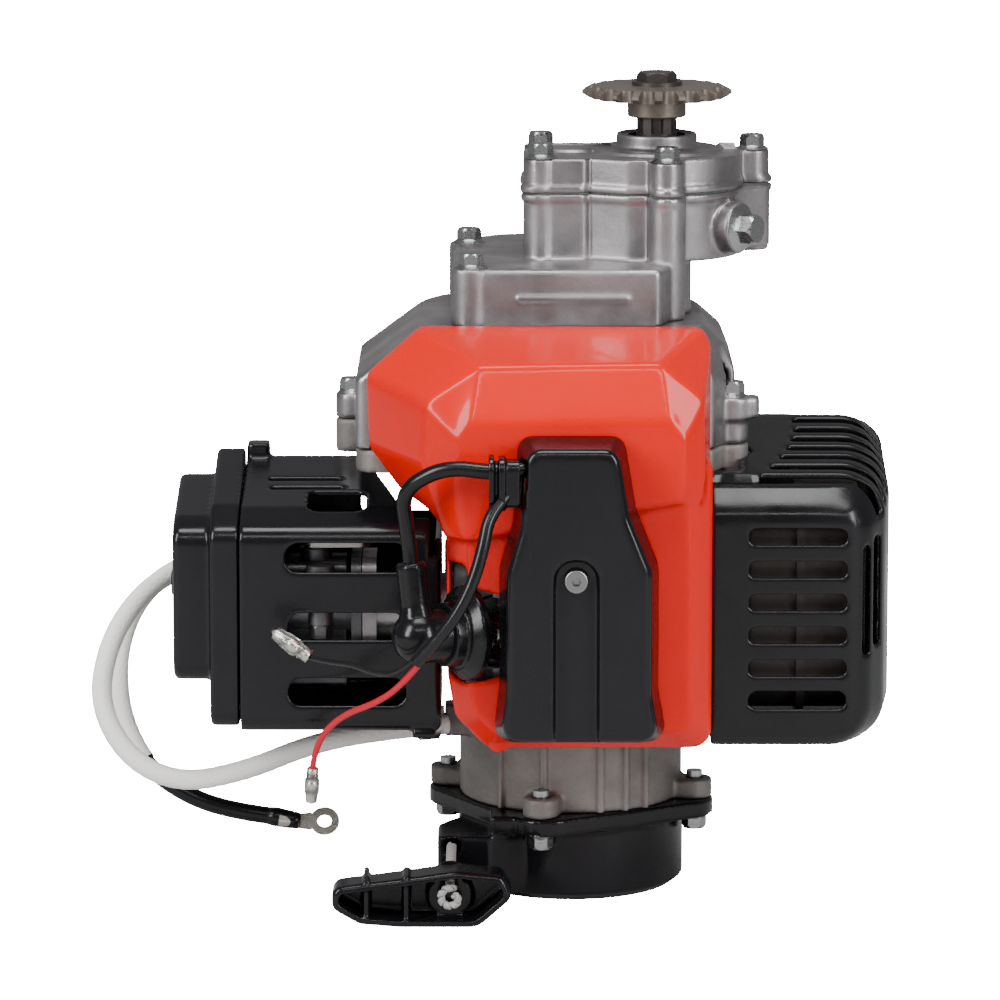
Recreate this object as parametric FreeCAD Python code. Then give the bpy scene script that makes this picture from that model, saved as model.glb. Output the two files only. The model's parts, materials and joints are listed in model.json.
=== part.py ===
import FreeCAD, Part
import math
import os

# Small 49 cc two-stroke engine with a reduction gearbox, standing on its recoil starter.
# Millimetres. +Z runs up the crankshaft axis, X to the right, -Y along the cylinder.
# The origin is on the crankshaft axis, at the outer face of the starter housing.

V = FreeCAD.Vector
PLATE = 2.0            # moulded plastic wall
CAST = 3.0             # die-cast wall
RUNNING = 0.05         # radial clearance of a running fit

# levels along the crankshaft axis
FLANGE_LOW, FLANGE_TOP = 27.0, 33.5
CRANK_Z = 116.0        # plane of the cylinder axis
FAN_SEAM = 174.5
FAN_TOP = 217.0
STEP_TOP = 237.7
CASE_SEAM = 261.8
COVER_TOP = 274.6
BOSS_TOP = 281.6
SPROCKET_Z = 294.3
SPROCKET_WIDE = 4.6

# crank train
BORE_R = 22.0
THROW = 17.0
ROD = 64.0
CROWN = 14.0           # gudgeon pin to piston crown
SKIRT = 14.0           # gudgeon pin to skirt edge
JOURNAL = 7.5
SHAFT_END = 6.0
WEB_R = 27.0
CHAMBER_R = 29.0
CASE_R = 41.5
DECK = -42.0           # joint face of the cylinder
PIN_Y = -(THROW + ROD)
CROWN_Y = PIN_Y - CROWN

# gears
MODULE = 1.25
PINION_TEETH = 12
GEAR_TEETH = 38
CENTRES = MODULE * (PINION_TEETH + GEAR_TEETH) / 2
OUT_Y = -3.0
OUT_X = math.sqrt(CENTRES ** 2 - OUT_Y ** 2)
GEAR_TIP = 24.6        # a little short, so that it clears the pinion's root
GEAR_LOW, GEAR_HIGH = 246.0, 258.0

# 8 mm pitch sprocket
CHAIN_PITCH = 8.0
SPROCKET_TEETH = 20
SPROCKET_PR = CHAIN_PITCH / 2 / math.sin(math.pi / SPROCKET_TEETH)
ROLLER_R = 2.6

# starter
CUP_R = 42.0
STARTER_BOLT_R = 47.4
STARTER_TURN = 14.0
GUIDE = (-44.3, -47.0, 22.6)
HANDLE_Y = -75.0
HANDLE_X = -54.5
KNOT = (-44.7, -66.5, 18.2)
ROPE_END = (-44.7, -76.9, 15.8)

# spark plug axis
PLUG_FOOT = V(-8.0, -99.0, 115.5)
PLUG_WAY = V(-0.88, -0.475, 0.02)

# intake, exhaust
PORT_Y = -66.0
AIR_X0, AIR_X1 = -120.0, -47.8
MUFFLER_X0, MUFFLER_X1 = 49.2, 115.0
EXHAUST_BOLT = 18.2    # above and below the port
BARREL_X, BARREL_Y, BARREL_BACK = -91.2, -76.9, -74.0
AIR_BACK = -5.0

# cords, routes of hand-chosen points
HT_R = 2.75
HT_ROUTE = [(-6, -86, 180), (-6, -118, 180), (-10, -133, 179), (-26, -136, 177), (-46, -134, 179),
            (-61, -129, 170), (-59.1, -121.9, 153.9), (-56.73, -123.36, 132.1)]
SLEEVE_R = 2.3
SLEEVE_ROUTE = [(-22, -137, 171), (-30, -141.5, 165), (-32.5, -146, 151), (-37.5, -148, 136),
                (-46, -147, 122), (-56, -143, 111)]
BLACK_R = 0.95
BLACK_ROUTE = [(-56.9, -143.2, 111.8), (-62, -140, 106.5), (-70, -134, 105), (-79, -126, 107),
               (-87, -119, 106.2),
               (-94, -112, 106.5)]
RED_R = 1.15
RED_ROUTE = [(-55.1, -142.8, 110.1), (-62, -139, 101), (-71, -132, 94), (-80, -123, 89),
             (-87.5, -115, 82), (-92.3, -108.5, 73), (-93.4, -105, 65)]
CABLE_R = 3.75
CABLE_ROUTE = [(-46, -26, 64), (-71, -35, 63.5), (-96, -42, 60), (-120, -48, 51), (-144, -51, 47),
               (-163, -49, 56), (-174, -43, 75), (-171, -33, 95), (-162, -18, 109), (-149, -1, 117),
               (-132, 12, 121), (-113, 20, 122), (-101, 36, 121), (-103, 56, 118), (-118, 70, 114),
               (-138, 71, 110), (-154, 59, 105), (-163, 41, 99), (-168, 21, 91), (-170, 2, 79),
               (-167, -12, 62), (-157, -22, 46), (-141, -26, 36), (-124, -27, 31), (-109, -27, 29)]


# ---------------------------------------------------------------- helpers
def box(x0, x1, y0, y1, z0, z1):
    return Part.makeBox(x1 - x0, y1 - y0, z1 - z0, V(x0, y0, z0))


def cyl(radius, z0, z1, x=0.0, y=0.0):
    return Part.makeCylinder(radius, z1 - z0, V(x, y, z0))


def bar(radius, start, end):
    line = V(*end) - V(*start)
    return Part.makeCylinder(radius, line.Length, V(*start), line)


def pipe(outer, inner, start, end):
    return bar(outer, start, end).cut(bar(inner, start, end))


def ring(outer, inner, z0, z1, x=0.0, y=0.0):
    return cyl(outer, z0, z1, x, y).cut(cyl(inner, z0, z1, x, y))


def join(shapes):
    first = shapes[0]
    if len(shapes) > 1:
        first = first.fuse(shapes[1:])
    return first.removeSplitter()


def take(shape, tools):
    return shape.cut(tools)


def aim(shape, origin, way):
    shape.Placement = FreeCAD.Placement(V(*origin), FreeCAD.Rotation(V(0, 0, 1), V(*way)))
    return shape


def around(shape, count, x=0.0, y=0.0, start=0.0):
    copies = []
    for i in range(count):
        turned = shape.copy()
        turned.rotate(V(x, y, 0), V(0, 0, 1), start + 360.0 * i / count)
        copies.append(turned)
    return copies


def lift(axis, a, b, height):
    if axis == "x":
        return V(height, a, b)
    if axis == "y":
        return V(a, height, b)
    return V(a, b, height)


def corner_arc(before, corner, after, cut):
    back = (before - corner).normalize()
    on = (after - corner).normalize()
    start = corner + back * cut
    end = corner + on * cut
    half = back.getAngle(on) / 2
    radius = cut * math.tan(half)
    middle = corner + (back + on).normalize() * (radius / math.sin(half) - radius)
    return start, middle, end


def rounded_wire(points, radius):
    """Closed outline of straight sides with one corner radius, or a list with one for each."""
    count = len(points)
    radii = radius if isinstance(radius, (list, tuple)) else [radius] * count
    edges = []
    ends = []
    for i in range(count):
        before, corner, after = points[i - 1], points[i], points[(i + 1) % count]
        half = (before - corner).getAngle(after - corner) / 2
        room = 0.49 * min((before - corner).Length, (after - corner).Length)
        cut = min(radii[i] / math.tan(half), room)
        if radii[i] <= 0 or cut < 0.01:
            ends.append((corner, corner))
            continue
        start, middle, end = corner_arc(before, corner, after, cut)
        edges.append(Part.Arc(start, middle, end).toShape())
        ends.append((start, end))
    for i in range(count):
        edges.append(Part.LineSegment(ends[i][1], ends[(i + 1) % count][0]).toShape())
    return Part.Wire(Part.__sortEdges__(edges))


def slab(axis, points, radius, low, high):
    """A plate square to the axis, with rounded corners."""
    wire = rounded_wire([lift(axis, a, b, low) for a, b in points], radius)
    return Part.Face(wire).extrude(lift(axis, 0, 0, high - low))


def loft(axis, sections):
    """A solid through (points, radius, height) sections, each with as many points."""
    wires = []
    for points, radius, height in sections:
        wires.append(rounded_wire([lift(axis, a, b, height) for a, b in points], radius))
    return Part.makeLoft(wires, True, True)


def rect(a0, a1, b0, b1):
    return [(a0, b0), (a1, b0), (a1, b1), (a0, b1)]


def shrink(points, wall):
    """The same outline moved in by the wall, for a convex outline run anticlockwise."""
    count = len(points)
    moved = []
    for i in range(count):
        before, corner, after = points[i - 1], points[i], points[(i + 1) % count]
        u = V(corner[0] - before[0], corner[1] - before[1], 0).normalize()
        w = V(after[0] - corner[0], after[1] - corner[1], 0).normalize()
        inward = V(-u.y - w.y, u.x + w.x, 0)
        scale = wall / (1 + u.dot(w))
        moved.append((corner[0] + inward.x * scale, corner[1] + inward.y * scale))
    return moved


def soften(shape, radius, wanted):
    """Round the edges that wanted() picks, and leave the shape sharp where that can't be done."""
    edges = [edge for edge in shape.Edges if wanted(edge)]
    if not edges:
        return shape
    try:
        softer = shape.makeFillet(radius, edges)
    except Exception:
        print("not softened", radius, len(edges))
        return shape
    if softer.isValid() and softer.Volume > 0:
        return softer
    print("not softened", radius, len(edges))
    return shape


def at_height(axis, height, reach=0.01):
    """Picks the edges that lie whole in one plane square to the axis."""
    def wanted(edge):
        bounds = edge.BoundBox
        low = {"x": bounds.XMin, "y": bounds.YMin, "z": bounds.ZMin}[axis]
        high = {"x": bounds.XMax, "y": bounds.YMax, "z": bounds.ZMax}[axis]
        return abs(low - height) < reach and abs(high - height) < reach
    return wanted


def hexagon(across, height):
    radius = across / 2 / math.cos(math.pi / 6)
    corners = [V(radius * math.cos(math.pi / 3 * i), radius * math.sin(math.pi / 3 * i), 0) for i in range(7)]
    prism = Part.Face(Part.makePolygon(corners)).extrude(V(0, 0, height))
    crown = Part.makeCone(radius * 1.02, radius * 0.86, height * 0.3, V(0, 0, height * 0.7))
    under = Part.makeCylinder(radius * 1.02, height * 0.7)
    return prism.common(under.fuse(crown))


def bolt(seat, way, size=6.0, across=8.0, length=16.0, head=5.4, flange=6.4):
    """Flanged hexagon bolt; way points out of the head."""
    shape = join([hexagon(across, head), Part.makeCone(flange, across / 2, 1.6),
                  Part.makeCylinder(size / 2, length, V(0, 0, -length))])
    return aim(shape, seat, way)


def socket_screw(seat, way, size=5.0, head_r=4.3, head=3.0, length=12.0):
    """Round-head screw with a hexagon socket."""
    top = soften(Part.makeCylinder(head_r, head), 0.9, at_height("z", head))
    socket = hexagon(size * 0.6, head * 2)
    socket.translate(V(0, 0, head * 0.35))
    shape = take(join([top, Part.makeCylinder(size / 2, length, V(0, 0, -length))]), socket)
    return aim(shape, seat, way)


def hole(seat, way, radius, length):
    back = V(*way).normalize() * -length
    return Part.makeCylinder(radius, length + 0.2, V(*seat) - back.normalize() * 0.1, back)


def cord(name, route, radius):
    """Round tube along straight runs joined by tangent arcs."""
    points = [V(*p) for p in route]
    edges = []
    last = points[0]
    radii = []
    for i in range(1, len(points) - 1):
        before, corner, after = points[i - 1], points[i], points[i + 1]
        cut = 0.45 * min((before - corner).Length, (after - corner).Length)
        start, middle, end = corner_arc(before, corner, after, cut)
        half = (before - corner).getAngle(after - corner) / 2
        radii.append(cut * math.tan(half))
        edges.append(Part.LineSegment(last, start).toShape())
        edges.append(Part.Arc(start, middle, end).toShape())
        last = end
    edges.append(Part.LineSegment(last, points[-1]).toShape())
    path = Part.Wire(edges)
    section = Part.Wire(Part.makeCircle(radius, points[0], points[1] - points[0]))
    tube = path.makePipeShell([section], True, False)
    expected = math.pi * radius ** 2 * path.Length
    print(name, "length", round(path.Length, 1), "volume ratio", round(tube.Volume / expected, 4),
          "bend radii", [round(r, 1) for r in radii])
    return tube


def involute_gear(teeth, tip, root, z0, z1, phase, backlash=0.16):
    """Spur gear with involute flanks, in its own centre."""
    pitch = MODULE * teeth / 2
    base = pitch * math.cos(math.radians(20))
    half_tooth = (math.pi * MODULE / 2 - backlash) / 2 / pitch
    rolled = math.tan(math.radians(20)) - math.radians(20)
    flank = []
    for i in range(6):
        radius = max(base, root) + (tip - max(base, root)) * i / 5
        lean = math.acos(min(1.0, base / radius))
        flank.append((radius, half_tooth + rolled - (math.tan(lean) - lean)))
    corners = []
    for tooth in range(teeth):
        centre = phase + 2 * math.pi * tooth / teeth
        side = [(root, centre - half_tooth - rolled)] + [(r, centre - a) for r, a in flank]
        other = [(r, centre + a) for r, a in reversed(flank)] + [(root, centre + half_tooth + rolled)]
        corners += [V(r * math.cos(a), r * math.sin(a), z0) for r, a in side + other]
    corners.append(corners[0])
    return Part.Face(Part.makePolygon(corners)).extrude(V(0, 0, z1 - z0))


def save(name, shapes):
    solids = []
    for shape in shapes if isinstance(shapes, list) else [shapes]:
        solids += shape.Solids
    bad = [s for s in solids if not s.isValid()]
    whole = solids[0] if len(solids) == 1 else Part.makeCompound(solids)
    if bad or len(solids) != (len(shapes) if isinstance(shapes, list) else 1):
        print("CHECK", name, "solids", len(solids), "invalid", len(bad))
    whole.exportStep("parts/" + name + ".step")


# ---------------------------------------------------------------- starter
def starter_bolt_places():
    places = []
    for i in range(4):
        angle = math.radians(i * 90 - STARTER_TURN)
        places.append((STARTER_BOLT_R * math.cos(angle), STARTER_BOLT_R * math.sin(angle)))
    return places


def starter_housing():
    cup = join([cyl(CUP_R, 3, FLANGE_LOW), Part.makeCone(38, CUP_R, 3)])
    block = slab("z", [(-49.5, -48), (-30, -48), (-14, -36), (-34, -8), (-44, -16), (-49.5, -26)], 3, 3, 26.2)
    flange = slab("z", rect(-42.3, 42.3, -42.3, 42.3), 13.5, FLANGE_LOW, FLANGE_TOP)
    flange.rotate(V(0, 0, 0), V(0, 0, 1), -STARTER_TURN - 45)
    tab = slab("z", [(-30, -47), (-17.5, -47), (-16, -38), (-30, -32)], 1.5, FLANGE_LOW, FLANGE_TOP)
    body = join([cup, soften(block, 1.5, at_height("z", 3)), flange, tab])
    body = take(body, [cyl(39, 2.6, FLANGE_TOP + 1)])
    post = join([cyl(5, 1.0, 19.4), cyl(11, 1.0, 3.4)])
    body = join([body, post])
    rib = slab("z", rect(30, 38.5, -0.8, 0.8), 0, 1, 4)
    body = join([body] + around(rib, 12))
    cuts = [bar(2.6, (-28.5, -8, 13.5), GUIDE), bar(3.6, (-44, -46.2, 22.3), (-44.4, -49, 23))]
    cuts += [cyl(3.15, 20, 40, x, y) for x, y in starter_bolt_places()]
    cuts += [cyl(6.4, FLANGE_LOW - 1, FLANGE_LOW + 1, x, y) for x, y in starter_bolt_places()]
    vents = around(slab("z", rect(14, 27, -2.2, 2.2), 2.1, -1, 4), 8, start=22.5)
    return take(body, cuts + vents)


def web(x, y, half):
    """Corners of a strip from the middle out to an ear, run anticlockwise."""
    reach = math.hypot(x, y)
    u, w = x / reach, y / reach
    near = 32.0
    return [(u * near + w * half, w * near - u * half), (x + w * half, y - u * half),
            (x - w * half, y + u * half), (u * near - w * half, w * near + u * half)]


def starter_bolts():
    bolts = []
    for x, y in starter_bolt_places():
        head = bolt((x, y, FLANGE_LOW + 0.0), (0, 0, -1), length=16.5, flange=5.0)
        bolts.append(head)
    return bolts


def spring_washers():
    washers = []
    for x, y in starter_bolt_places():
        washers.append(ring(5.4, 3.1, FLANGE_LOW, FLANGE_LOW + 1.0, x, y))
    return washers


def recoil_spring():
    pitch = 1.6
    pieces = []
    for i in range(22):
        radius = 12.6 + pitch * i / 2
        shift = pitch / 2 if i % 2 else 0.0
        strip = ring(radius + 0.45, radius, 4.3, 8.0, shift, 0)
        half = box(-60, 60, 0, 60, 0, 20) if i % 2 else box(-60, 60, -60, 0, 0, 20)
        pieces.append(strip.common(half))
    return join(pieces)


def starter_reel():
    body = join([cyl(33, 9.0, 10.4), cyl(33, 16.8, 18.2), cyl(22.2, 9.0, 18.2)])
    return take(body, [cyl(5 + RUNNING, 8, 20), cyl(3.2, 15, 19, 14, 0)])


def rope_winding():
    return ring(29.5, 22.3, 10.5, 16.7)


def starter_pawl():
    arm = slab("z", [(10.6, -3.2), (16, -3.4), (17.2, 4), (15.6, 9.8), (13.4, 9.6), (11, 3)], 1.2, 18.5, 22.0)
    return join([arm, cyl(3.1, 15.4, 22.0, 14, 0)])


def starter_cup():
    wall = ring(23, 20, 20.0, 31.0)
    plate = cyl(23, 29.0, 31.0)
    notches = around(box(19, 21.6, -2, 2, 19, 27), 6)
    return take(join([wall, plate, cyl(10, 26.5, 31)]), notches + [cyl(SHAFT_END + 0.01, 20, 40)])


def pull_handle():
    """T handle with a hollow front, three ribs across it and rounded ends."""
    half = 33.0
    outline = [(HANDLE_X - half, 7.5), (HANDLE_X - half + 10, 1.8), (HANDLE_X - 8, 0.6), (HANDLE_X + 20, 0.6),
               (HANDLE_X + half, 12), (HANDLE_X + half - 4, 20), (HANDLE_X + 12, 21.6), (HANDLE_X - 6, 19),
               (HANDLE_X - half, 15.5)]
    body = slab("y", outline, [4, 5, 8, 8, 4, 4, 8, 8, 4], HANDLE_Y - 9, HANDLE_Y + 9)
    body = soften(body, 3.5, at_height("y", HANDLE_Y + 9))
    body = soften(body, 2.0, at_height("y", HANDLE_Y - 9))
    pocket = slab("y", shrink(outline, 2.6), [3, 4, 6, 6, 3, 3, 6, 6, 3], HANDLE_Y - 20, HANDLE_Y + 6)
    ribs = [box(x - 1, x + 1, HANDLE_Y - 8, HANDLE_Y + 7, 2, 20) for x in (-75.0, -60.5)]
    boss = bar(8.0, (KNOT[0], HANDLE_Y - 2, 11), (KNOT[0], HANDLE_Y + 8, 11))
    body = join([take(body, [pocket]), boss.common(box(-100, 0, -100, 0, 0.7, 21))] + ribs)
    body = join([body, bar(5.5, (KNOT[0], HANDLE_Y + 5, 16.0), KNOT)])
    past = V(*ROPE_END) + (V(*ROPE_END) - V(*GUIDE)).normalize() * 10
    return take(body, [bar(2.3, GUIDE, tuple(past))])


def rope():
    return bar(2.0, GUIDE, ROPE_END)


def rope_knot():
    knot = Part.makeSphere(4.6, V(KNOT[0], HANDLE_Y - 6.0, 11.5))
    return knot.common(box(-100, 0, -100, HANDLE_Y - 2.05, 0, 40))


# ---------------------------------------------------------------- crankcase
CASE_BOLTS = [(34.4, 33), (-34.4, 33), (41, -25), (-41, -25)]
DECK_BOLTS = [(24, 24), (-24, 24), (24, -24), (-24, -24)]
# x, y and the height of the seat under the bolt head
FAN_BOLTS = [(-81.5, 3, 184), (57.5, -54, 191.5), (-8, 71, 184)]
MOUNT_X, MOUNT_Z0, MOUNT_Z1, MOUNT_Y = 25.0, 56.0, 106.0, 47.0


def fan_outline(grow=0.0):
    return [(-78.5 - grow, -72), (50 + grow, -72), (58.7 + grow, -50), (58.7 + grow, 66 + grow),
            (-78.5 - grow, 66 + grow)]


def crankcase_half(z0, z1):
    barrel = cyl(CASE_R, z0, z1)
    deck = slab("y", rect(-31, 31, max(z0, CRANK_Z - 31), min(z1, CRANK_Z + 31)), 0, DECK, -20)
    lugs = [case_lug(x, y, max(z0, 98), min(z1, 134)) for x, y in CASE_BOLTS]
    return [barrel, deck] + lugs


def case_lug(x, y, z0, z1):
    return cyl(6, z0, z1, x, y).fuse(slab("z", web(x, y, 6), 0, z0, z1))


def deck_cuts():
    cuts = [bar(BORE_R + 1.6, (0, -20, CRANK_Z), (0, DECK - 1, CRANK_Z))]
    cuts += [bar(3.05, (x, -24, CRANK_Z + z), (x, DECK - 1, CRANK_Z + z)) for x, z in DECK_BOLTS]
    cuts += [cyl(2.55, 104, 140, x, y) for x, y in CASE_BOLTS]
    return cuts


def crankcase_lower():
    body = crankcase_half(FLANGE_TOP, CRANK_Z - 0.25)
    body += [cyl(6.6, FLANGE_TOP, 41, x, y) for x, y in starter_bolt_places()]
    body += [slab("z", web(x, y, 6.6), 0, FLANGE_TOP, 40) for x, y in starter_bolt_places()]
    rib = box(36, CASE_R + 2.4, -1.2, 1.2, FLANGE_TOP, CRANK_Z - 31.6)
    for angle in (-128, -104, -76, -62, -50, 20, 60, 120, 160):
        copy = rib.copy()
        copy.rotate(V(0, 0, 0), V(0, 0, 1), angle)
        body.append(copy)
    for x in (-MOUNT_X, MOUNT_X):
        body += [bar(7.5, (x, 20, z), (x, MOUNT_Y, z)) for z in (MOUNT_Z0, MOUNT_Z1)]
    body += [box(-47, -36, -20, -9, 58, 70)]
    cuts = deck_cuts() + [cyl(35, FLANGE_TOP - 1, 55), cyl(12.5, 54, 64), cyl(17.55, 63.9, 90),
                          cyl(CHAMBER_R, 96, 130), cyl(13, 80, 100)]
    cuts += [cyl(3.05, 30, 50, x, y) for x, y in starter_bolt_places()]
    for x in (-MOUNT_X, MOUNT_X):
        cuts += [bar(3.0, (x, 33, z), (x, MOUNT_Y + 1, z)) for z in (MOUNT_Z0, MOUNT_Z1)]
    cuts += [bar(2.05, (-39, -14.5, 64), (-54, -14.5, 64))]
    return take(join(body), cuts)


def crankcase_upper():
    body = crankcase_half(CRANK_Z + 0.25, 168)
    plate = slab("z", fan_outline(), [8, 3, 8, 60, 60], 166, FAN_SEAM)
    body += [plate] + [cyl(6, 162, FAN_SEAM, x, y) for x, y, seat in FAN_BOLTS]
    cuts = deck_cuts() + [cyl(CHAMBER_R, 100, 136), cyl(17.55, 150, 166.1), cyl(13, 130, 151),
                          cyl(12.5, 166, 180)]
    cuts += [cyl(3.05, 150, 190, x, y) for x, y, seat in FAN_BOLTS]
    cuts += [slab("z", rect(-62, 46, -70, -50), 4, 150, 180)]
    return take(join(body), cuts)


def crankcase_gasket():
    body = join([cyl(CASE_R, CRANK_Z - 0.25, CRANK_Z + 0.25),
                 box(-31, 31, DECK, -20, CRANK_Z - 0.25, CRANK_Z + 0.25)]
                + [case_lug(x, y, CRANK_Z - 0.25, CRANK_Z + 0.25) for x, y in CASE_BOLTS])
    return take(body, deck_cuts() + [cyl(CHAMBER_R, 100, 130)])


def crankcase_bolts():
    return [bolt((x, y, 134), (0, 0, 1), size=5, length=29, head=5, flange=5.6) for x, y in CASE_BOLTS]


def main_bearings():
    return [ring(17.5, JOURNAL + RUNNING, 64, 75), ring(17.5, JOURNAL + RUNNING, 154.9, 165.9)]


def crank_seals():
    return [ring(12.45, JOURNAL + RUNNING, 56, 63), ring(12.45, JOURNAL + RUNNING, 167, 173.5)]


# ---------------------------------------------------------------- crank train
def crankshaft():
    webs = [cyl(WEB_R, z, z + 10) for z in (98.5, 123.5)]
    notch = [box(-30, 30, -28, -4, 90, 140).cut(cyl(11, 90, 140, 0, -THROW)).cut(cyl(13, 90, 140))]
    webs = [take(w, notch) for w in webs]
    body = join([cyl(SHAFT_END, 24, 56), cyl(JOURNAL, 55, 99), cyl(JOURNAL, 133, 176),
                 cyl(SHAFT_END, 175, 234)]
                + webs + [cyl(7, 108, 124, 0, -THROW)])
    return body


def connecting_rod():
    big = ring(11, 7 + RUNNING, 110.5, 121.5, 0, -THROW)
    small = ring(8, 5 + RUNNING, 110.5, 121.5, 0, PIN_Y)
    beam = box(-4, 4, PIN_Y + 6, -THROW - 9, 112, 120)
    groove = [box(-2.6, 2.6, PIN_Y + 11, -THROW - 13, 118.6, 121),
              box(-2.6, 2.6, PIN_Y + 11, -THROW - 13, 111, 113.4)]
    return join([big, small, take(beam, groove + [cyl(7.5, 100, 130, 0, -THROW),
                                                  cyl(5.2, 100, 130, 0, PIN_Y)])])


def piston():
    body = bar(BORE_R - RUNNING, (0, CROWN_Y, CRANK_Z), (0, PIN_Y + SKIRT, CRANK_Z))
    inside = bar(BORE_R - 3, (0, CROWN_Y + 5, CRANK_Z), (0, PIN_Y + SKIRT + 1, CRANK_Z))
    bosses = [cyl(8.5, CRANK_Z - 20, CRANK_Z - 6.5, 0, PIN_Y),
              cyl(8.5, CRANK_Z + 6.5, CRANK_Z + 20, 0, PIN_Y)]
    bosses = [b.common(bar(BORE_R - 1, (0, CROWN_Y + 1, CRANK_Z), (0, PIN_Y + SKIRT, CRANK_Z)))
              for b in bosses]
    body = join([take(body, [inside])] + bosses)
    grooves = [pipe(BORE_R + 1, BORE_R - 1.9, (0, y, CRANK_Z), (0, y + 1.6, CRANK_Z)) for y in ring_levels()]
    return take(body, grooves + [cyl(5.01, CRANK_Z - 25, CRANK_Z + 25, 0, PIN_Y)])


def ring_levels():
    return [CROWN_Y + 2.5, CROWN_Y + 6.0]


def piston_rings():
    gap = box(20, 24, -120, -60, CRANK_Z - 0.3, CRANK_Z + 0.3)
    rings = [pipe(BORE_R - 0.02, BORE_R - 1.85, (0, y + 0.05, CRANK_Z), (0, y + 1.55, CRANK_Z))
             for y in ring_levels()]
    return [take(r, [gap]) for r in rings]


def gudgeon_pin():
    return ring(5, 3, CRANK_Z - 18, CRANK_Z + 18, 0, PIN_Y)


# ---------------------------------------------------------------- cylinder
def cylinder():
    barrel = bar(27, (0, DECK - 0.5, CRANK_Z), (0, -111, CRANK_Z))
    foot = slab("y", rect(-31, 31, CRANK_Z - 31, CRANK_Z + 31), 7, DECK - 8, DECK - 0.5)
    fins = []
    for i in range(10):
        front = -59.0 - 6.0 * i
        half = 35.0 if i < 8 else 35.0 - 3.0 * (i - 7)
        fin = slab("y", rect(-half, half, CRANK_Z - half - 1, CRANK_Z + half + 1), 9, front - 1.9, front)
        fins.append(fin)
    intake = slab("x", rect(PORT_Y - 13, PORT_Y + 13, CRANK_Z - 17, CRANK_Z + 17), 4, -38, 0)
    exhaust = slab("x", exhaust_outline(), 4, 0, 38)
    seat = aim(Part.makeCylinder(11, 20), PLUG_FOOT, PLUG_WAY)
    body = join([barrel, foot, intake, exhaust, seat] + fins)
    dome = Part.makeSphere(30, V(0, CROWN_Y + 19.5, CRANK_Z)).common(bar(BORE_R, (0, -112, CRANK_Z),
            (0, CROWN_Y, CRANK_Z)))
    cuts = [bar(BORE_R, (0, -40, CRANK_Z), (0, CROWN_Y - 0.6, CRANK_Z)), dome,
            bar(8, (-39, PORT_Y, CRANK_Z), (-10, PORT_Y, CRANK_Z)), bar(9, (39, PORT_Y, CRANK_Z),
                    (10, PORT_Y, CRANK_Z)),
            aim(Part.makeCylinder(7.0, 40), PLUG_FOOT - PLUG_WAY.normalize() * 8, PLUG_WAY),
            aim(Part.makeCylinder(13.5, 40), PLUG_FOOT + PLUG_WAY.normalize() * 18, PLUG_WAY)]
    cuts += [bar(3.05, (x, -40, CRANK_Z + z), (x, -56, CRANK_Z + z)) for x, z in DECK_BOLTS]
    cuts += [bar(6.6, (x, DECK - 8, CRANK_Z + z), (x, -58.9, CRANK_Z + z)) for x, z in DECK_BOLTS]
    cuts += [bar(2.55, (side * 39, PORT_Y, CRANK_Z + z), (side * 28, PORT_Y, CRANK_Z + z))
             for side, z in ((-1, 13.6), (-1, -13.6), (1, EXHAUST_BOLT), (1, -EXHAUST_BOLT))]
    return take(body, cuts)


def cylinder_gasket():
    plate = slab("y", rect(-31, 31, CRANK_Z - 31, CRANK_Z + 31), 7, DECK - 0.5, DECK)
    return take(plate, [bar(BORE_R + 1.6, (0, -40, CRANK_Z), (0, -45, CRANK_Z))]
                + [bar(3.3, (x, -40, CRANK_Z + z), (x, -45, CRANK_Z + z)) for x, z in DECK_BOLTS])


def cylinder_bolts():
    return [bolt((x, DECK - 8, CRANK_Z + z), (0, -1, 0), length=22, flange=6.0) for x, z in DECK_BOLTS]


def spark_plug():
    thread = Part.makeCylinder(6.9, 12, V(0, 0, 6.5))
    nut = hexagon(16, 9)
    nut.translate(V(0, 0, 18))
    collar = Part.makeCylinder(8.5, 3, V(0, 0, 26.5))
    insulator = Part.makeCone(5.6, 4.6, 16, V(0, 0, 29))
    terminal = Part.makeCylinder(3.0, 6, V(0, 0, 45))
    return aim(join([thread, nut, collar, insulator, terminal]), PLUG_FOOT, PLUG_WAY)


def plug_axis_point(distance):
    return PLUG_FOOT + V(PLUG_WAY).normalize() * distance


def plug_cap():
    """Right-angle cap: barrel over the insulator, elbow, and the sleeve that holds the lead."""
    elbow = plug_axis_point(53.5)
    tip = V(-57.8, -122.7, 142.0)
    barrel = aim(Part.makeCylinder(8.4, 24), plug_axis_point(30), PLUG_WAY)
    corner = Part.makeSphere(8.6, elbow)
    neck = Part.makeCone(7.2, 4.3, 11, elbow, tip - elbow)
    sleeve = Part.makeCylinder(4.3, (tip - elbow).Length, elbow, tip - elbow)
    body = join([barrel, corner, neck, sleeve])
    cuts = [aim(Part.makeCylinder(5.75, 22.2), plug_axis_point(29.4), PLUG_WAY),
            Part.makeCylinder(HT_R, 12, tip + (elbow - tip).normalize() * 11, tip - elbow)]
    return take(body, cuts)


def plug_boot():
    """Rubber disc that closes the air guide round the plug cap."""
    rim = aim(Part.makeCylinder(17, 3), plug_axis_point(33), PLUG_WAY)
    lip = aim(Part.makeCone(17, 13.5, 3), plug_axis_point(36), PLUG_WAY)
    neck = aim(Part.makeCylinder(11.5, 11), plug_axis_point(33), PLUG_WAY)
    body = join([rim, lip, neck])
    return take(body, [aim(Part.makeCylinder(8.42, 40), plug_axis_point(25), PLUG_WAY)])


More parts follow.
